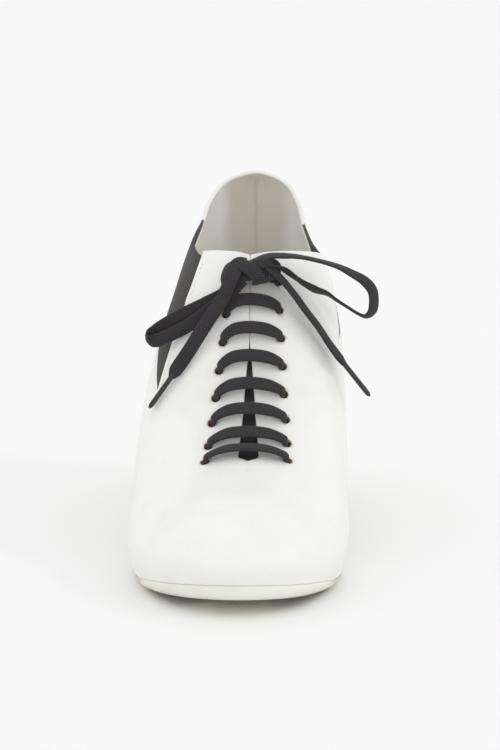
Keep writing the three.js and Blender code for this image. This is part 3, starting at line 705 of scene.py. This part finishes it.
def makeUpper():
    mesh, _ = mappedGrid(len(ribs) - 1, upperShape["rows"], upperPoint, True)
    for side in (-1, 1):
        points = [Vector((0, yAt(a) * 0.001, z * 0.001)) for a, z in goreCorners[side]]
        for start, end in ((points[0], points[1]), (points[1], points[2])):
            way = end - start
            normal = Vector((0, way.z, -way.y)).normalized()
            faces = []
            for face in mesh.faces:
                x, y, z = face.calc_center_median()
                if x * side <= upperShape["middleStrip"] or z <= points[1].z - upperShape["cutReach"]:
                    continue
                if points[1].y - upperShape["cutReach"] < y < points[0].y + 0.001:
                    faces.append(face)
            geom = faces + list({e for f in faces for e in f.edges})
            geom += list({v for f in faces for v in f.verts})
            bmesh.ops.bisect_plane(mesh, geom=geom, dist=0.00002, plane_co=start, plane_no=normal)
        gone = []
        for face in mesh.faces:
            x, y, z = face.calc_center_median()
            if x * side > upperShape["middleStrip"] and inGore(side, y, z):
                gone.append(face)
        bmesh.ops.delete(mesh, geom=gone, context="FACES")
    bmesh.ops.remove_doubles(mesh, verts=mesh.verts, dist=upperShape["mergeAll"])
    weldSlivers(mesh)
    bmesh.ops.recalc_face_normals(mesh, faces=mesh.faces)
    middle = sum((f.normal.z for f in mesh.faces if f.calc_center_median().z > 0.03), 0)
    if middle < 0:
        bmesh.ops.reverse_faces(mesh, faces=mesh.faces)
    materials = [whiteLeather, liningLeather, edgePaint]
    piece = finishPiece("upperShell", mesh, materials, ["upper"])
    addWall(
        piece, last["wall"], use_even_offset=True, use_quality_normals=True,
        material_offset=1, material_offset_rim=2,
    )
    addModifier(
        piece, "edge", "BEVEL", limit_method="ANGLE", angle_limit=math.radians(55), segments=2,
        width=upperShape["rounding"] * 0.001, profile=0.5, use_clamp_overlap=False,
    )
    applyModifiers(piece)
    return piece


upper = makeUpper()
print("upper made", len(upper.data.polygons))

# sole, heel and lift
soleShape = {
    "featherSides": 0.9,  # how much rounder the lower edge is at the toe's sides
    "featherFrom": 0.70,
    "featherOver": 0.10,
    "treadFaces": -0.85,
    "profile": [  # share from the spine, trim, face, lift
        (0.0, 0, "under", 0), (0.5, 0, "under", 0), (0.9, 0, "under", 0), (1, 2.6, "under", 0),
        (1, 1.8, "under", 0.16), (1, 0.86, "under", 0.66), (1, 0.24, "under", 1.40), (1, 0, "under", 2.2),
        (1, 0.0, "top", -0.5), (1, 0.12, "top", -0.15), (1, 0.45, "top", 0.0), (0.9, 0, "top", 0),
        (0.5, 0, "top", 0), (0, 0, "top", 0),
    ],
}


def toeShare(along):  # 0 behind the ball, 1 at the toe
    at = along / last["length"]
    return max(0, min(1, (at - soleShape["featherFrom"]) / soleShape["featherOver"]))


def solePoint(u, v):
    s = (u * loopCount) % loopCount
    share, trim, face, lift = soleShape["profile"][round(v * (len(soleShape["profile"]) - 1))]
    way = (footPoint(s + 0.05) - footPoint(s - 0.05)).normalized()
    spread = 1 + soleShape["featherSides"] * abs(way.y) ** 2 * toeShare(spineAlong(s))
    if face == "under":
        trim, lift = trim * spread, lift * spread
    place = fromSpine(s, trim, share)
    height = underside(yAt(place.y)) if face == "under" else soleTop(yAt(place.y))
    return Vector((place.x, place.y, height + lift))


def makeSole():
    mesh = closedForm(loopCount * 8, 13, solePoint)
    for face in mesh.faces:
        if face.normal.z < soleShape["treadFaces"]:
            face.material_index = 1
    return finishPiece("outsoleLeather", mesh, [soleEdge, soleTread], ["outsole"])


makeSole()

insoleShape = {
    "thickness": 2.4, "inset": 2.4, "under": 0.15,
    "profile": [  # share from the spine, trim, share of the thickness
        (0, 0, 0), (0.5, 0, 0), (1, 0, 0), (1, 0, 0.6), (1, 0.0, 0.85),
        (1, 0.5, 1.0), (0.92, 0, 1), (0.5, 0, 1), (0, 0, 1),
    ],
}


def insolePoint(u, v):
    s = (u * loopCount) % loopCount
    share, trim, lift = insoleShape["profile"][round(v * 8)]
    place = fromSpine(s, insoleShape["inset"] + trim, share)
    floor = footHeight(yAt(place.y)) + insoleShape["under"]
    return Vector((place.x, place.y, floor + insoleShape["thickness"] * lift))


sock = closedForm(loopCount * 8, 8, insolePoint)
finishPiece("sockLining", sock, [sockLeather], ["insole"])

heelShape = {
    "liftThickness": 5, "liftLength": 40, "liftWidth": 37, "liftSetback": 8,
    "sections": [
        (0.00, 1.00, 1.00, 1.00), (0.18, 1.02, 1.01, 0.90), (0.42, 1.10, 1.06, 0.70),
        (0.70, 1.24, 1.16, 0.42), (1.00, 53 / 37, 56 / 40, 0.20),
    ],
    "around": 96,
    "rows": 30,
    "backRound": 0.42,  # powers that square the outline: back, front and sides
    "frontRound": 0.90,
    "sideRound": 0.8,
    "seatGap": 0.15,
    "liftProfile": [(0, 0), (0.95, 0), (0.975, 0.15), (0.985, 0.6), (1.0, 4.7), (0.985, 5.0), (0, 5.0)],
}


def heelPlace(angle, height, share=1.0):
    width, length, back = (
        heelShape[key] * onLine([(r[0], r[i]) for r in heelShape["sections"]], height)
        for i, key in enumerate(("liftWidth", "liftLength", "liftSetback"), 1)
    )
    square = heelShape["backRound"] if math.cos(angle) > 0 else heelShape["frontRound"]
    forward = squared(math.cos(angle), square)
    sideways = squared(math.sin(angle), heelShape["sideRound"])
    x = share * width * sideways / 2
    return x, back + length / 2 + share * length * forward / 2


def heelPoint(u, v):
    angle = 2 * math.pi * u
    row = round(v * (heelShape["rows"] + 2)) - 1
    height = max(0, min(1, row / heelShape["rows"]))
    x, along = heelPlace(angle, height, 0 if row < 0 or row > heelShape["rows"] else 1)
    foot = heelShape["liftThickness"] + last["clearance"]
    seat = underside(max(0, along)) + heelShape["seatGap"]
    return Vector((x, yAt(along), foot + (seat - foot) * height))


def makeHeel():
    mesh = closedForm(heelShape["around"], heelShape["rows"] + 2, heelPoint)
    piece = finishPiece("heelCover", mesh, [whiteLeather], ["heel"])
    addModifier(
        piece, "soft", "BEVEL", width=0.0004, segments=2, limit_method="ANGLE",
        angle_limit=math.radians(50),
    )
    return piece


makeHeel()


def liftPoint(u, v):
    angle = 2 * math.pi * u
    share, z = heelShape["liftProfile"][round(v * 6)]
    x, along = heelPlace(angle, 0, share)
    return Vector((x, yAt(along), z))


lift = closedForm(heelShape["around"], 6, liftPoint)
finishPiece("topPiece", lift, [liftRubber], ["top_lift"])
print("sole, heel and lift made")

# elastic gores, let in behind the leather
goreShape = {
    "under": 3.0, "drop": 1.2, "depth": 0.55, "thickness": 1.1, "columns": 70, "rows": 30, "blunt": 0.04,
}


def wedgeCorners(side, margin, drop):
    points = [Vector(p) for p in goreCorners[side]]
    centre = sum(points, Vector((0, 0))) / 3
    lines = []
    for i in range(3):
        a, b = points[i], points[(i + 1) % 3]
        way = (b - a).normalized()
        normal = Vector((-way.y, way.x))
        if (centre - a).dot(normal) < 0:
            normal.negate()
        shift = drop if i == 2 else margin
        lines.append((a + normal * shift, way))
    corners = []
    for i in range(3):
        (p, d), (o, e) = lines[(i + 2) % 3], lines[i]
        cross = d.x * e.y - d.y * e.x
        t = ((o.x - p.x) * e.y - (o.y - p.y) * e.x) / cross
        corners.append(p + d * t)
    return corners


def makeGore(side, name, node):
    back, tip, front = wedgeCorners(side, -goreShape["under"], goreShape["drop"])

    def place(u, v):
        u = goreShape["blunt"] + (1 - goreShape["blunt"]) * u
        low = back.lerp(tip, u)
        high = back.lerp(front, u)
        here = low.lerp(high, v)
        return onSide(side, here.x, here.y, goreShape["depth"])[0] * 1000

    mesh, uvLayer = mappedGrid(goreShape["columns"], goreShape["rows"], place)
    for face in mesh.faces:
        for corner in face.loops:
            corner[uvLayer].uv = (corner.vert.co.y, corner.vert.co.z)
    faceTowards(mesh, Vector((side, 0, 0)))
    piece = finishPiece(name, mesh, [goreWeave], [node])
    addWall(piece, goreShape["thickness"])
    return piece


makeGore(-1, "goreOuter", "gore_lateral")
makeGore(1, "goreInner", "gore_medial")

# tongue, against the inside of the facings
tongueShape = {
    "top": 3, "below": 9, "thickness": 1.5, "depth": 2.15,
    "halfWidths": [(0, 14), (0.1, 16), (0.5, 20), (0.92, 18), (1, 12)],
}


def makeTongue():
    start = edges["outerFront"][3][0] * last["length"] + tongueShape["top"]
    end = edges["slitEnd"] * last["length"] + tongueShape["below"]

    def place(u, v):
        along = start + (end - start) * v
        half = onLine(tongueShape["halfWidths"], v)
        over = Vector(((ridgeX(along) + half * (2 * u - 1)) * 0.001, yAt(along) * 0.001, 0.3))
        hit, normal, _, _ = skinTree.ray_cast(over, Vector((0, 0, -1)))
        if normal.z < 0:
            normal = -normal
        return (hit - normal * tongueShape["depth"] * 0.001) * 1000

    mesh, _ = mappedGrid(24, 50, place)
    faceTowards(mesh, Vector((0, 0, 1)))
    piece = finishPiece("tongueLeather", mesh, [tongueLeather], ["tongue"])
    addWall(piece, tongueShape["thickness"])
    return piece


makeTongue()
print("gores and tongue made")

# laces
laceShape = {
    "width": 5.6, "thickness": 1.3, "rows": 8,
    "lowRow": 0.705, "topRow": 0.476, "outerSag": 2.0, "innerSag": 0.4,
    "outerLow": 17.7, "outerTop": 8.6, "innerLow": 16.1, "innerTop": 11.7,
    "hole": 3.7, "flare": 0.20,
    "knotOut": 3.5, "knotUp": 1.4, "knotAside": 1.2,
}


def smoothPath(points, steps):  # centripetal curve through the points
    points = [Vector(p) for p in points]
    ends = [points[0] * 2 - points[1], *points, points[-1] * 2 - points[-2]]
    knots = [0.0]
    for a, b in zip(ends, ends[1:]):
        knots.append(knots[-1] + max(1e-6, (b - a).length ** 0.5))
    first, final = knots[1], knots[-2]
    out = []
    for i in range(steps + 1):
        t = first + (final - first) * i / steps
        k = 1
        while k < len(knots) - 3 and knots[k + 1] < t:
            k += 1
        p, n = ends[k - 1:k + 3], knots[k - 1:k + 3]

        def mix(a, b, ta, tb):
            return a * ((tb - t) / (tb - ta)) + b * ((t - ta) / (tb - ta))

        a1, a2, a3 = (mix(p[j], p[j + 1], n[j], n[j + 1]) for j in range(3))
        b1, b2 = mix(a1, a2, n[0], n[2]), mix(a2, a3, n[1], n[3])
        out.append(mix(b1, b2, n[1], n[2]))
    return out


def valueAlong(values, share):
    at = share * (len(values) - 1)
    k = min(len(values) - 2, int(at))
    return values[k] * (1 - (at - k)) + values[k + 1] * (at - k)


def stripMesh(points, faces, widths, thicknesses, steps, around=16):
    # a woven strip along points; faces are the directions its flat side looks
    centre = smoothPath(points, steps)
    gone = [0.0]
    for a, b in zip(centre, centre[1:]):
        gone.append(gone[-1] + (b - a).length)
    frames = []
    for i, here in enumerate(centre):
        way = (centre[min(steps, i + 1)] - centre[max(0, i - 1)]).normalized()
        share = gone[i] / gone[-1]
        flat = valueAlong([Vector(f) for f in faces], share)
        flat = (flat - way * flat.dot(way)).normalized()
        side = way.cross(flat).normalized()
        frames.append((here, side, flat, valueAlong(widths, share), valueAlong(thicknesses, share)))

    def place(u, v):
        here, side, flat, width, thick = frames[round(v * steps)]
        angle = 2 * math.pi * u
        x = squared(math.cos(angle), 0.7) * width / 2
        y = squared(math.sin(angle), 0.8) * thick / 2
        return here + side * x + flat * y

    mesh, uvLayer = mappedGrid(around, steps, place)
    for face in mesh.faces:
        for corner in face.loops:
            u, v = corner[uvLayer].uv
            k = round(v * steps)
            corner[uvLayer].uv = (gone[k] * 0.001, min(u, 1 - u) * 2 * frames[k][3] * 0.001)
    bmesh.ops.remove_doubles(mesh, verts=mesh.verts, dist=0.00002)
    rims = [e for e in mesh.edges if e.is_boundary]
    bmesh.ops.holes_fill(mesh, edges=rims, sides=0)
    bmesh.ops.recalc_face_normals(mesh, faces=mesh.faces)
    return mesh, [c * 0.001 for c in centre], gone[-1] * 0.001


def laceRow(index):
    share = index / (laceShape["rows"] - 1)
    low, top = laceShape["lowRow"] * last["length"], laceShape["topRow"] * last["length"]
    return {
        "along": low + (top - low) * share,
        -1: laceShape["outerLow"] + (laceShape["outerTop"] - laceShape["outerLow"]) * share,
        1: laceShape["innerLow"] + (laceShape["innerTop"] - laceShape["innerLow"]) * share,
    }


def rowPoint(row, share):
    side = -1 if share < 0 else 1
    sag = laceShape["outerSag"] if share < 0 else laceShape["innerSag"]
    return skinAt(row["along"] + sag * share ** 4, share * row[side])


barShape = {
    "shares": (-1, -0.94, -0.80, -0.5, 0, 0.5, 0.80, 0.94, 1),
    "bulge": 2.3, "topBulge": 0.3, "gap": 0.1, "tilt": 0.10, "turn": 0.25,
    "broad": 5.8, "narrow": 5.0, "nearEnd": 0.9, "endThick": 1.5,
    "endAt": 0.965, "endLean": 0.9,
    "diving": [(2.8, 3.2, 2.2), (0.6, 4.0, 2.0)],  # depth in its hole, width, thickness
}


def makeBar(index):
    row = laceRow(index)
    topmost = index == laceShape["rows"] - 1
    bulge = barShape["topBulge"] if topmost else barShape["bulge"]
    tilt = barShape["tilt"] * (1 - index / (laceShape["rows"] - 1))
    points, flats, widths, thicks = [], [], [], []
    for share in barShape["shares"]:
        if abs(share) == 1:
            point, normal = rowPoint(row, share * barShape["endAt"])
            lean = (normal + Vector((barShape["endLean"] * share, 0, 0))).normalized()
            for depth, width, thick in barShape["diving"][::-int(share)]:
                points.append(point - normal * depth)
                flats.append(lean)
                widths.append(width)
                thicks.append(thick)
            continue
        point, normal = rowPoint(row, share)
        lift = last["clearance"] + laceShape["thickness"] / 2 + barShape["gap"]
        points.append(point + normal * (lift + bulge * (1 - share ** 4)))
        flats.append(normal + Vector((barShape["turn"] * share ** 3, tilt, tilt)))
        nearEnd = abs(share) > barShape["nearEnd"]
        widths.append(barShape["narrow"] if nearEnd else barShape["broad"])
        thicks.append(barShape["endThick"] if nearEnd else laceShape["thickness"])
    mesh, _, _ = stripMesh(points, flats, widths, thicks, 48)
    return finishPiece(f"laceBar{index + 1}", mesh, [laceWeave], [f"lace_bar_{index + 1}"])


for index in range(laceShape["rows"]):
    makeBar(index)
print("lace bars made")

# holes for the lace, punched through the shell, with raw tan walls
def punchHoles(piece):
    cutters = bmesh.new()
    radius, flare = laceShape["hole"] / 2, laceShape["flare"]
    for index in range(laceShape["rows"]):
        row = laceRow(index)
        for side in (-1, 1):
            point, normal = rowPoint(row, side)
            turn = normal.to_track_quat("Z", "Y").to_matrix().to_4x4()
            place = Matrix.Translation((point - normal) * 0.001) @ turn
            bmesh.ops.create_cone(
                cutters, cap_ends=True, segments=24, depth=0.006, matrix=place,
                radius1=(radius - 4 * flare) * 0.001, radius2=(radius + 2 * flare) * 0.001,
            )
    punch = meshObject("punch", cutters, [rawLeather])
    addModifier(
        piece, "cut", "BOOLEAN", operation="DIFFERENCE", solver="EXACT", object=punch,
        material_mode="TRANSFER",
    )
    applyModifiers(piece)
    bpy.data.objects.remove(punch)


punchHoles(upper)
print("holes punched", len(upper.data.polygons))

# bow: the same route as the CAD's cord solids
topRow = laceShape["topRow"] * last["length"]
across = Vector((1, 0, 0))
upSlope = (skinAt(topRow - 1, 0.01)[0] - skinAt(topRow + 1, 0.01)[0]).normalized()
outward = across.cross(upSlope).normalized()
if outward.y > 0:
    outward.negate()
knotMiddle = (
    skinAt(topRow, 0.01)[0]
    + outward * (last["clearance"] * 2 + laceShape["thickness"] + laceShape["knotOut"])
    + upSlope * laceShape["knotUp"]
    + across * laceShape["knotAside"]
)
print("knot middle", [round(c, 2) for c in knotMiddle])


def byKnot(side, up, out):  # in the knot's own directions
    return knotMiddle + across * side + upSlope * up + outward * out


def bowPoint(row):  # from the knot's middle, in its own directions or in the shoe's
    return byKnot(*row[1:]) if row[0] == "knot" else knotMiddle + Vector(row)


bow = {
    "loopLeft": {
        "route": [
            ("knot", -4.0, -3.6, 0.4), (-10.8, -4.0, -10.2), (-19.3, -4.5, -14.9),
            (-28.8, -3.8, -19.8), (-35.8, -3.4, -23.9), (-41.0, -3.6, -27.2), (-43.6, -4.8, -29.2),
            (-41.0, -6.0, -30.4), (-34.0, -7.3, -27.6), (-26.7, -8.3, -23.6), (-20.6, -8.2, -19.3),
            (-14.9, -7.0, -15.0), (-9.3, -5.5, -10.1), ("knot", -4.4, -6.4, 0.8),
        ],
        "flats": [
            (0, 1, -0.3), (0, 1, -0.3), (0, 1, -0.3), (-0.2, 1, -0.3), (-0.9, 0.45, -0.4),
            (-0.6, -0.8, 0), (-0.1, -1, 0.2), (0, -1, 0.3), (0, -1, 0.3), (0, -1, 0.3),
        ],
        "widths": [5.6] * 6, "thicks": [1.3] * 6, "steps": 110, "node": "lace_loop_left",
    },
    "endLeft": {
        "route": [
            ("knot", -2.4, 0.2, 1.2), ("knot", -6.1, -0.6, 2.5), ("knot", -7.8, -4.5, 3.4),
            ("knot", -9.3, -8.6, 3.2), (-12.3, -9.6, -11.8), (-18.0, -13.0, -20.2),
            (-22.7, -15.2, -27.5), (-26.8, -17.0, -33.8), (-30.6, -18.8, -39.2),
            (-32.9, -19.8, -42.7),
        ],
        "flats": [
            (0, -0.8, 0.6), (-0.2, -0.9, 0.5), (-0.1, -1, 0.4), (0, -1, 0.25), (0, -1, 0.25),
            (0, -1, 0.25),
        ],
        "widths": [5.8, 6.4, 6.4, 6.2, 6.0] + [5.8] * 15 + [5.4, 2.6], "thicks": [1.3] * 20 + [1.5, 1.9],
        "steps": 80, "node": "lace_end_left", "tip": (-41.8, -22.0, -55.0),
    },
    "loopRight": {
        "route": [
            ("knot", -1.0, 0.6, 0.6), ("knot", 3.4, 2.4, 1.6), ("knot", 7.6, 3.8, 1.6),
            (12.3, -0.6, 4.4), (17.0, 0.4, 4.0), (21.7, 0.4, 3.3), (26.5, -0.4, 2.4),
            (31.2, -1.6, 1.4), (35.9, -2.8, 0.0), (40.7, -4.2, -2.2), (45.4, -5.8, -4.7),
            (48.8, -7.0, -8.5), (49.5, -7.6, -13.2), (48.7, -7.2, -17.5), (46.3, -6.4, -19.6),
            (43.6, -5.6, -18.9), (38.9, -3.6, -16.4), (34.1, -1.6, -13.7), (30.3, -0.2, -11.3),
            (25.6, 0.6, -9.9), (20.8, 1.0, -7.4), (16.1, 0.8, -4.1), (11.4, -0.6, -0.7),
            ("knot", 4.7, -0.5, 0.6),
        ],
        "flats": [
            (0, -0.3, 1), (0, -0.25, 1), (0, -0.18, 1), (0, 0.0, 1), (0.05, 0.02, 1),
            (0.2, -0.12, 1), (0.6, -0.5, 0.7), (0.85, -0.75, 0.1), (0.6, -0.6, -0.7),
            (0, -0.36, -0.95), (-0.1, -0.34, -0.95), (-0.1, -0.42, -0.93), (-0.1, -0.68, -0.78),
            (-0.1, -0.36, -0.95), (0, -0.32, -0.95), (0, -0.35, -0.95),
        ],
        "widths": [5.6] * 6, "thicks": [1.3] * 6, "steps": 130, "node": "lace_loop_right",
    },
    "endRight": {
        "route": [
            ("knot", 4.4, 0.0, 0.4), (8.2, -2.8, -1.6), (12.4, -4.0, -5.5), (17.1, -5.8, -10.9),
            (21.9, -7.6, -17.2), (26.7, -9.4, -23.1), (31.4, -11.4, -29.9), (36.2, -13.2, -36.2),
            (37.6, -13.7, -38.0),
        ],
        "flats": [
            (0.6, -0.4, 0.7), (0.78, -0.34, 0.62), (0.78, -0.36, 0.62), (0.78, -0.34, 0.62),
            (0.7, -0.5, 0.6),
        ],
        "widths": [5.0] + [5.4] * 16 + [5.0, 2.6], "thicks": [1.3] * 17 + [1.5, 1.8],
        "steps": 70, "node": "lace_end_right", "tip": (48.1, -17.2, -50.5),
    },
}


def makeStrand(name):
    strand = bow[name]
    points = [bowPoint(row) for row in strand["route"]]
    widths = strand["widths"]
    mesh, centre, length = stripMesh(points, strand["flats"], widths, strand["thicks"], strand["steps"])
    piece = finishPiece(name, mesh, [laceWeave], [strand["node"]])
    print(name, round(length * 1000, 1))
    return piece


agletShape = {
    "diameter": 2.1, "over": 1.6, "flat": (0, -1, 0.3),
    "widths": [1.05] + [1] * 14 + [0.9, 0.4],
}


def makeAglet(name, strandName, node):
    before, end = [bowPoint(row) for row in bow[strandName]["route"][-2:]]
    tip = bowPoint(bow[strandName]["tip"])
    start = end - (end - before).normalized() * agletShape["over"]
    widths = [agletShape["diameter"] * share for share in agletShape["widths"]]
    route = [start, start.lerp(tip, 0.5), tip]
    mesh, _, _ = stripMesh(route, [agletShape["flat"]] * 2, widths, widths, 32, 20)
    return finishPiece(name, mesh, [agletPlastic], [node])


agletLeft = makeAglet("agletLeft", "endLeft", "aglet_left")
agletRight = makeAglet("agletRight", "endRight", "aglet_right")
makeStrand("loopLeft")
makeStrand("endLeft")
makeStrand("loopRight")
makeStrand("endRight")


knotWraps = [  # route and the way its flat side looks in the knot's own directions, width, thickness
    (
        [(-4.2, 0.9, 0.2), (-9.3, -0.2, 0.9), (-11.3, -4.0, 1.2), (-11.2, -7.8, 0.9), (-8.6, -10.4, 0.4)],
        [(0, 0.6, 0.8), (-0.5, 0.5, 0.8), (-0.8, 0.1, 0.7), (-0.7, -0.4, 0.7), (0, -0.4, 1)],
        4.6, 1.7,
    ),
    (
        [(-8.4, 0.4, 0.8), (-5.2, -0.7, 3.0), (-1.6, -3.2, 4.2), (1.4, -5.8, 3.4), (2.4, -7.2, 1.6),
         (2.2, -7.4, -0.8)],
        [(-0.2, 0.7, 0.7), (0, 0.2, 1), (0, 0, 1), (0.1, -0.2, 1), (0.4, -0.8, 0.5), (0.4, -1, 0)],
        5.8, 1.6,
    ),
    (
        [(-1.2, -1.6, 1.2), (3.3, -0.4, 2.6), (7.0, 0.2, 2.2), (9.6, -0.6, 0.8), (9.8, -3.0, -0.4)],
        [(-0.1, 0.1, 1), (0, 0.1, 1), (0.2, 0, 1), (0.8, -0.1, 0.6), (0.8, -0.5, 0.3)],
        5.0, 1.6,
    ),
    (
        [(-9.4, -5.0, 0.2), (-5.4, -4.4, 0.9), (-0.8, -3.2, 1.2), (3.4, -1.6, 0.8), (7.6, -1.0, 0.0)],
        [(0, 0, 1)] * 2, 7.4, 3.2,
    ),
    ([(3.6, -6.0, 0.2), (7.0, -5.2, 1.0), (10.2, -3.8, 0.4)], [(0, 0, 1)] * 2, 4.4, 1.8),
]


def makeKnot():
    whole = bmesh.new()
    for route, flats, width, thick in knotWraps:
        points = [byKnot(*p) for p in route]
        looks = [across * f[0] + upSlope * f[1] + outward * f[2] for f in flats]
        mesh, _, _ = stripMesh(points, looks, [width] * 4, [thick] * 4, 36)
        data = bpy.data.meshes.new("wrap")
        mesh.to_mesh(data)
        mesh.free()
        whole.from_mesh(data)
        bpy.data.meshes.remove(data)
    return finishPiece("laceKnot", whole, [laceWeave], ["lace_knot"])


makeKnot()
print("bow tied")

# stitches
stitchShape = {
    "length": 1.5, "gap": 0.55, "thread": 0.42, "broad": 1.1, "proud": 0.35,
    "fromCollar": 2.2, "fromGore": 1.8, "belowSlit": 0.6, "slitLength": 9.5,
}


def stitchRow(name, points, normals):
    gone = [0.0]
    for a, b in zip(points, points[1:]):
        gone.append(gone[-1] + (b - a).length)
    pitch = (stitchShape["length"] + stitchShape["gap"]) * 0.001
    whole = bmesh.new()
    radius = stitchShape["thread"] * 0.0005
    at = pitch / 2
    k = 0
    while at < gone[-1] - pitch / 2:
        while gone[k + 1] < at:
            k += 1
        t = (at - gone[k]) / max(1e-9, gone[k + 1] - gone[k])
        here = points[k].lerp(points[k + 1], t)
        normal = normals[k].lerp(normals[k + 1], t).normalized()
        way = (points[k + 1] - points[k]).normalized()
        side = normal.cross(way).normalized()
        normal = way.cross(side)
        turn = Matrix((way, side, normal)).transposed().to_4x4()
        sizes = (stitchShape["length"] * 0.0005, radius * stitchShape["broad"], radius, 1)
        spot = here + normal * radius * stitchShape["proud"]
        place = Matrix.Translation(spot) @ turn @ Matrix.Diagonal(sizes)
        bmesh.ops.create_icosphere(whole, subdivisions=1, radius=1.0, matrix=place)
        at += pitch
    bmesh.ops.recalc_face_normals(whole, faces=whole.faces)
    return finishPiece(name, whole, [whiteThread])


def skinLine(side, rows, depth=0.0):  # side-view points put on the skin
    points, normals = [], []
    for along, z in rows:
        hit, normal = onSide(side, along, z, depth)
        if hit is not None:
            points.append(hit)
            normals.append(normal)
    return points, normals


def goreStitches(side, name):
    back, tip, front = wedgeCorners(side, -stitchShape["fromGore"], 0)
    lower = [back.lerp(tip, 0.03 + 0.97 * i / 60) for i in range(61)]
    upper = [tip.lerp(front, 0.02 + 0.94 * i / 30) for i in range(31)]
    points, normals = skinLine(side, [(p.x, p.y) for p in lower + upper])
    stitchRow(name, points, normals)


goreStitches(-1, "goreStitchOuter")
goreStitches(1, "goreStitchInner")


def collarStitches():
    points, normals = [], []
    for s, edge in zip(ribs, ribEdges):
        along = yAt(skin(s, edge).y)
        if along < goreBack[0] - 2 and edge < 0.999:
            here, normal = walkDown(s, edge, stitchShape["fromCollar"])
            points.append(here * 0.001)
            if (here - Vector((0, yAt(32), here.z))).dot(normal) < 0:
                normal.negate()
            normals.append(normal)
    stitchRow("collarStitch", points, normals)


collarStitches()


def slitSeam():
    points, normals = [], []
    for i in range(24):
        below = stitchShape["belowSlit"] + stitchShape["slitLength"] * i / 23
        along = edges["slitEnd"] * last["length"] + below
        point, normal = skinAt(along, -0.02)
        points.append(point * 0.001)
        normals.append(normal)
    stitchRow("slitSeam", points, normals)


slitSeam()
print("stitches sewn")

# floor, backdrop and light
stageLook = {
    "floor": (0.90, 0.905, 0.90),
    "world": 0.98,
    "lights": [  # name, place, target, size, power
        ("key", (2.2, -0.5, 1.9), (0, -0.05, 0.05), 0.22, 4.6),
        ("top", (-0.4, 0.2, 3.2), (0, -0.05, 0), 2.4, 4.2),
    ],
}


def makeStage():
    floor = bmesh.new()
    bmesh.ops.create_grid(floor, x_segments=8, y_segments=8, size=25.0)
    paper = grainyMaterial("paper", stageLook["floor"], 0.9, 60.0, 2.0, (0.0003, 0.1))
    meshObject("floor", floor, [paper])


def addLight(name, place, target, size, power):
    data = bpy.data.lights.new(name, "AREA")
    data.shape = "RECTANGLE"
    data.size = data.size_y = size
    data.energy = power
    light = bpy.data.objects.new(name, data)
    bpy.context.scene.collection.objects.link(light)
    light.location = place
    light.rotation_euler = (Vector(target) - Vector(place)).to_track_quat("-Z", "Y").to_euler()


makeStage()
for row in stageLook["lights"]:
    addLight(*row)
world = bpy.data.worlds.new("studio")
bpy.context.scene.world = world
world.use_nodes = True
background = world.node_tree.nodes["Background"]
background.inputs["Color"].default_value = (1, 1, 1, 1)
background.inputs["Strength"].default_value = stageLook["world"]
bpy.context.scene.view_settings.view_transform = "Standard"
print("stage lit")
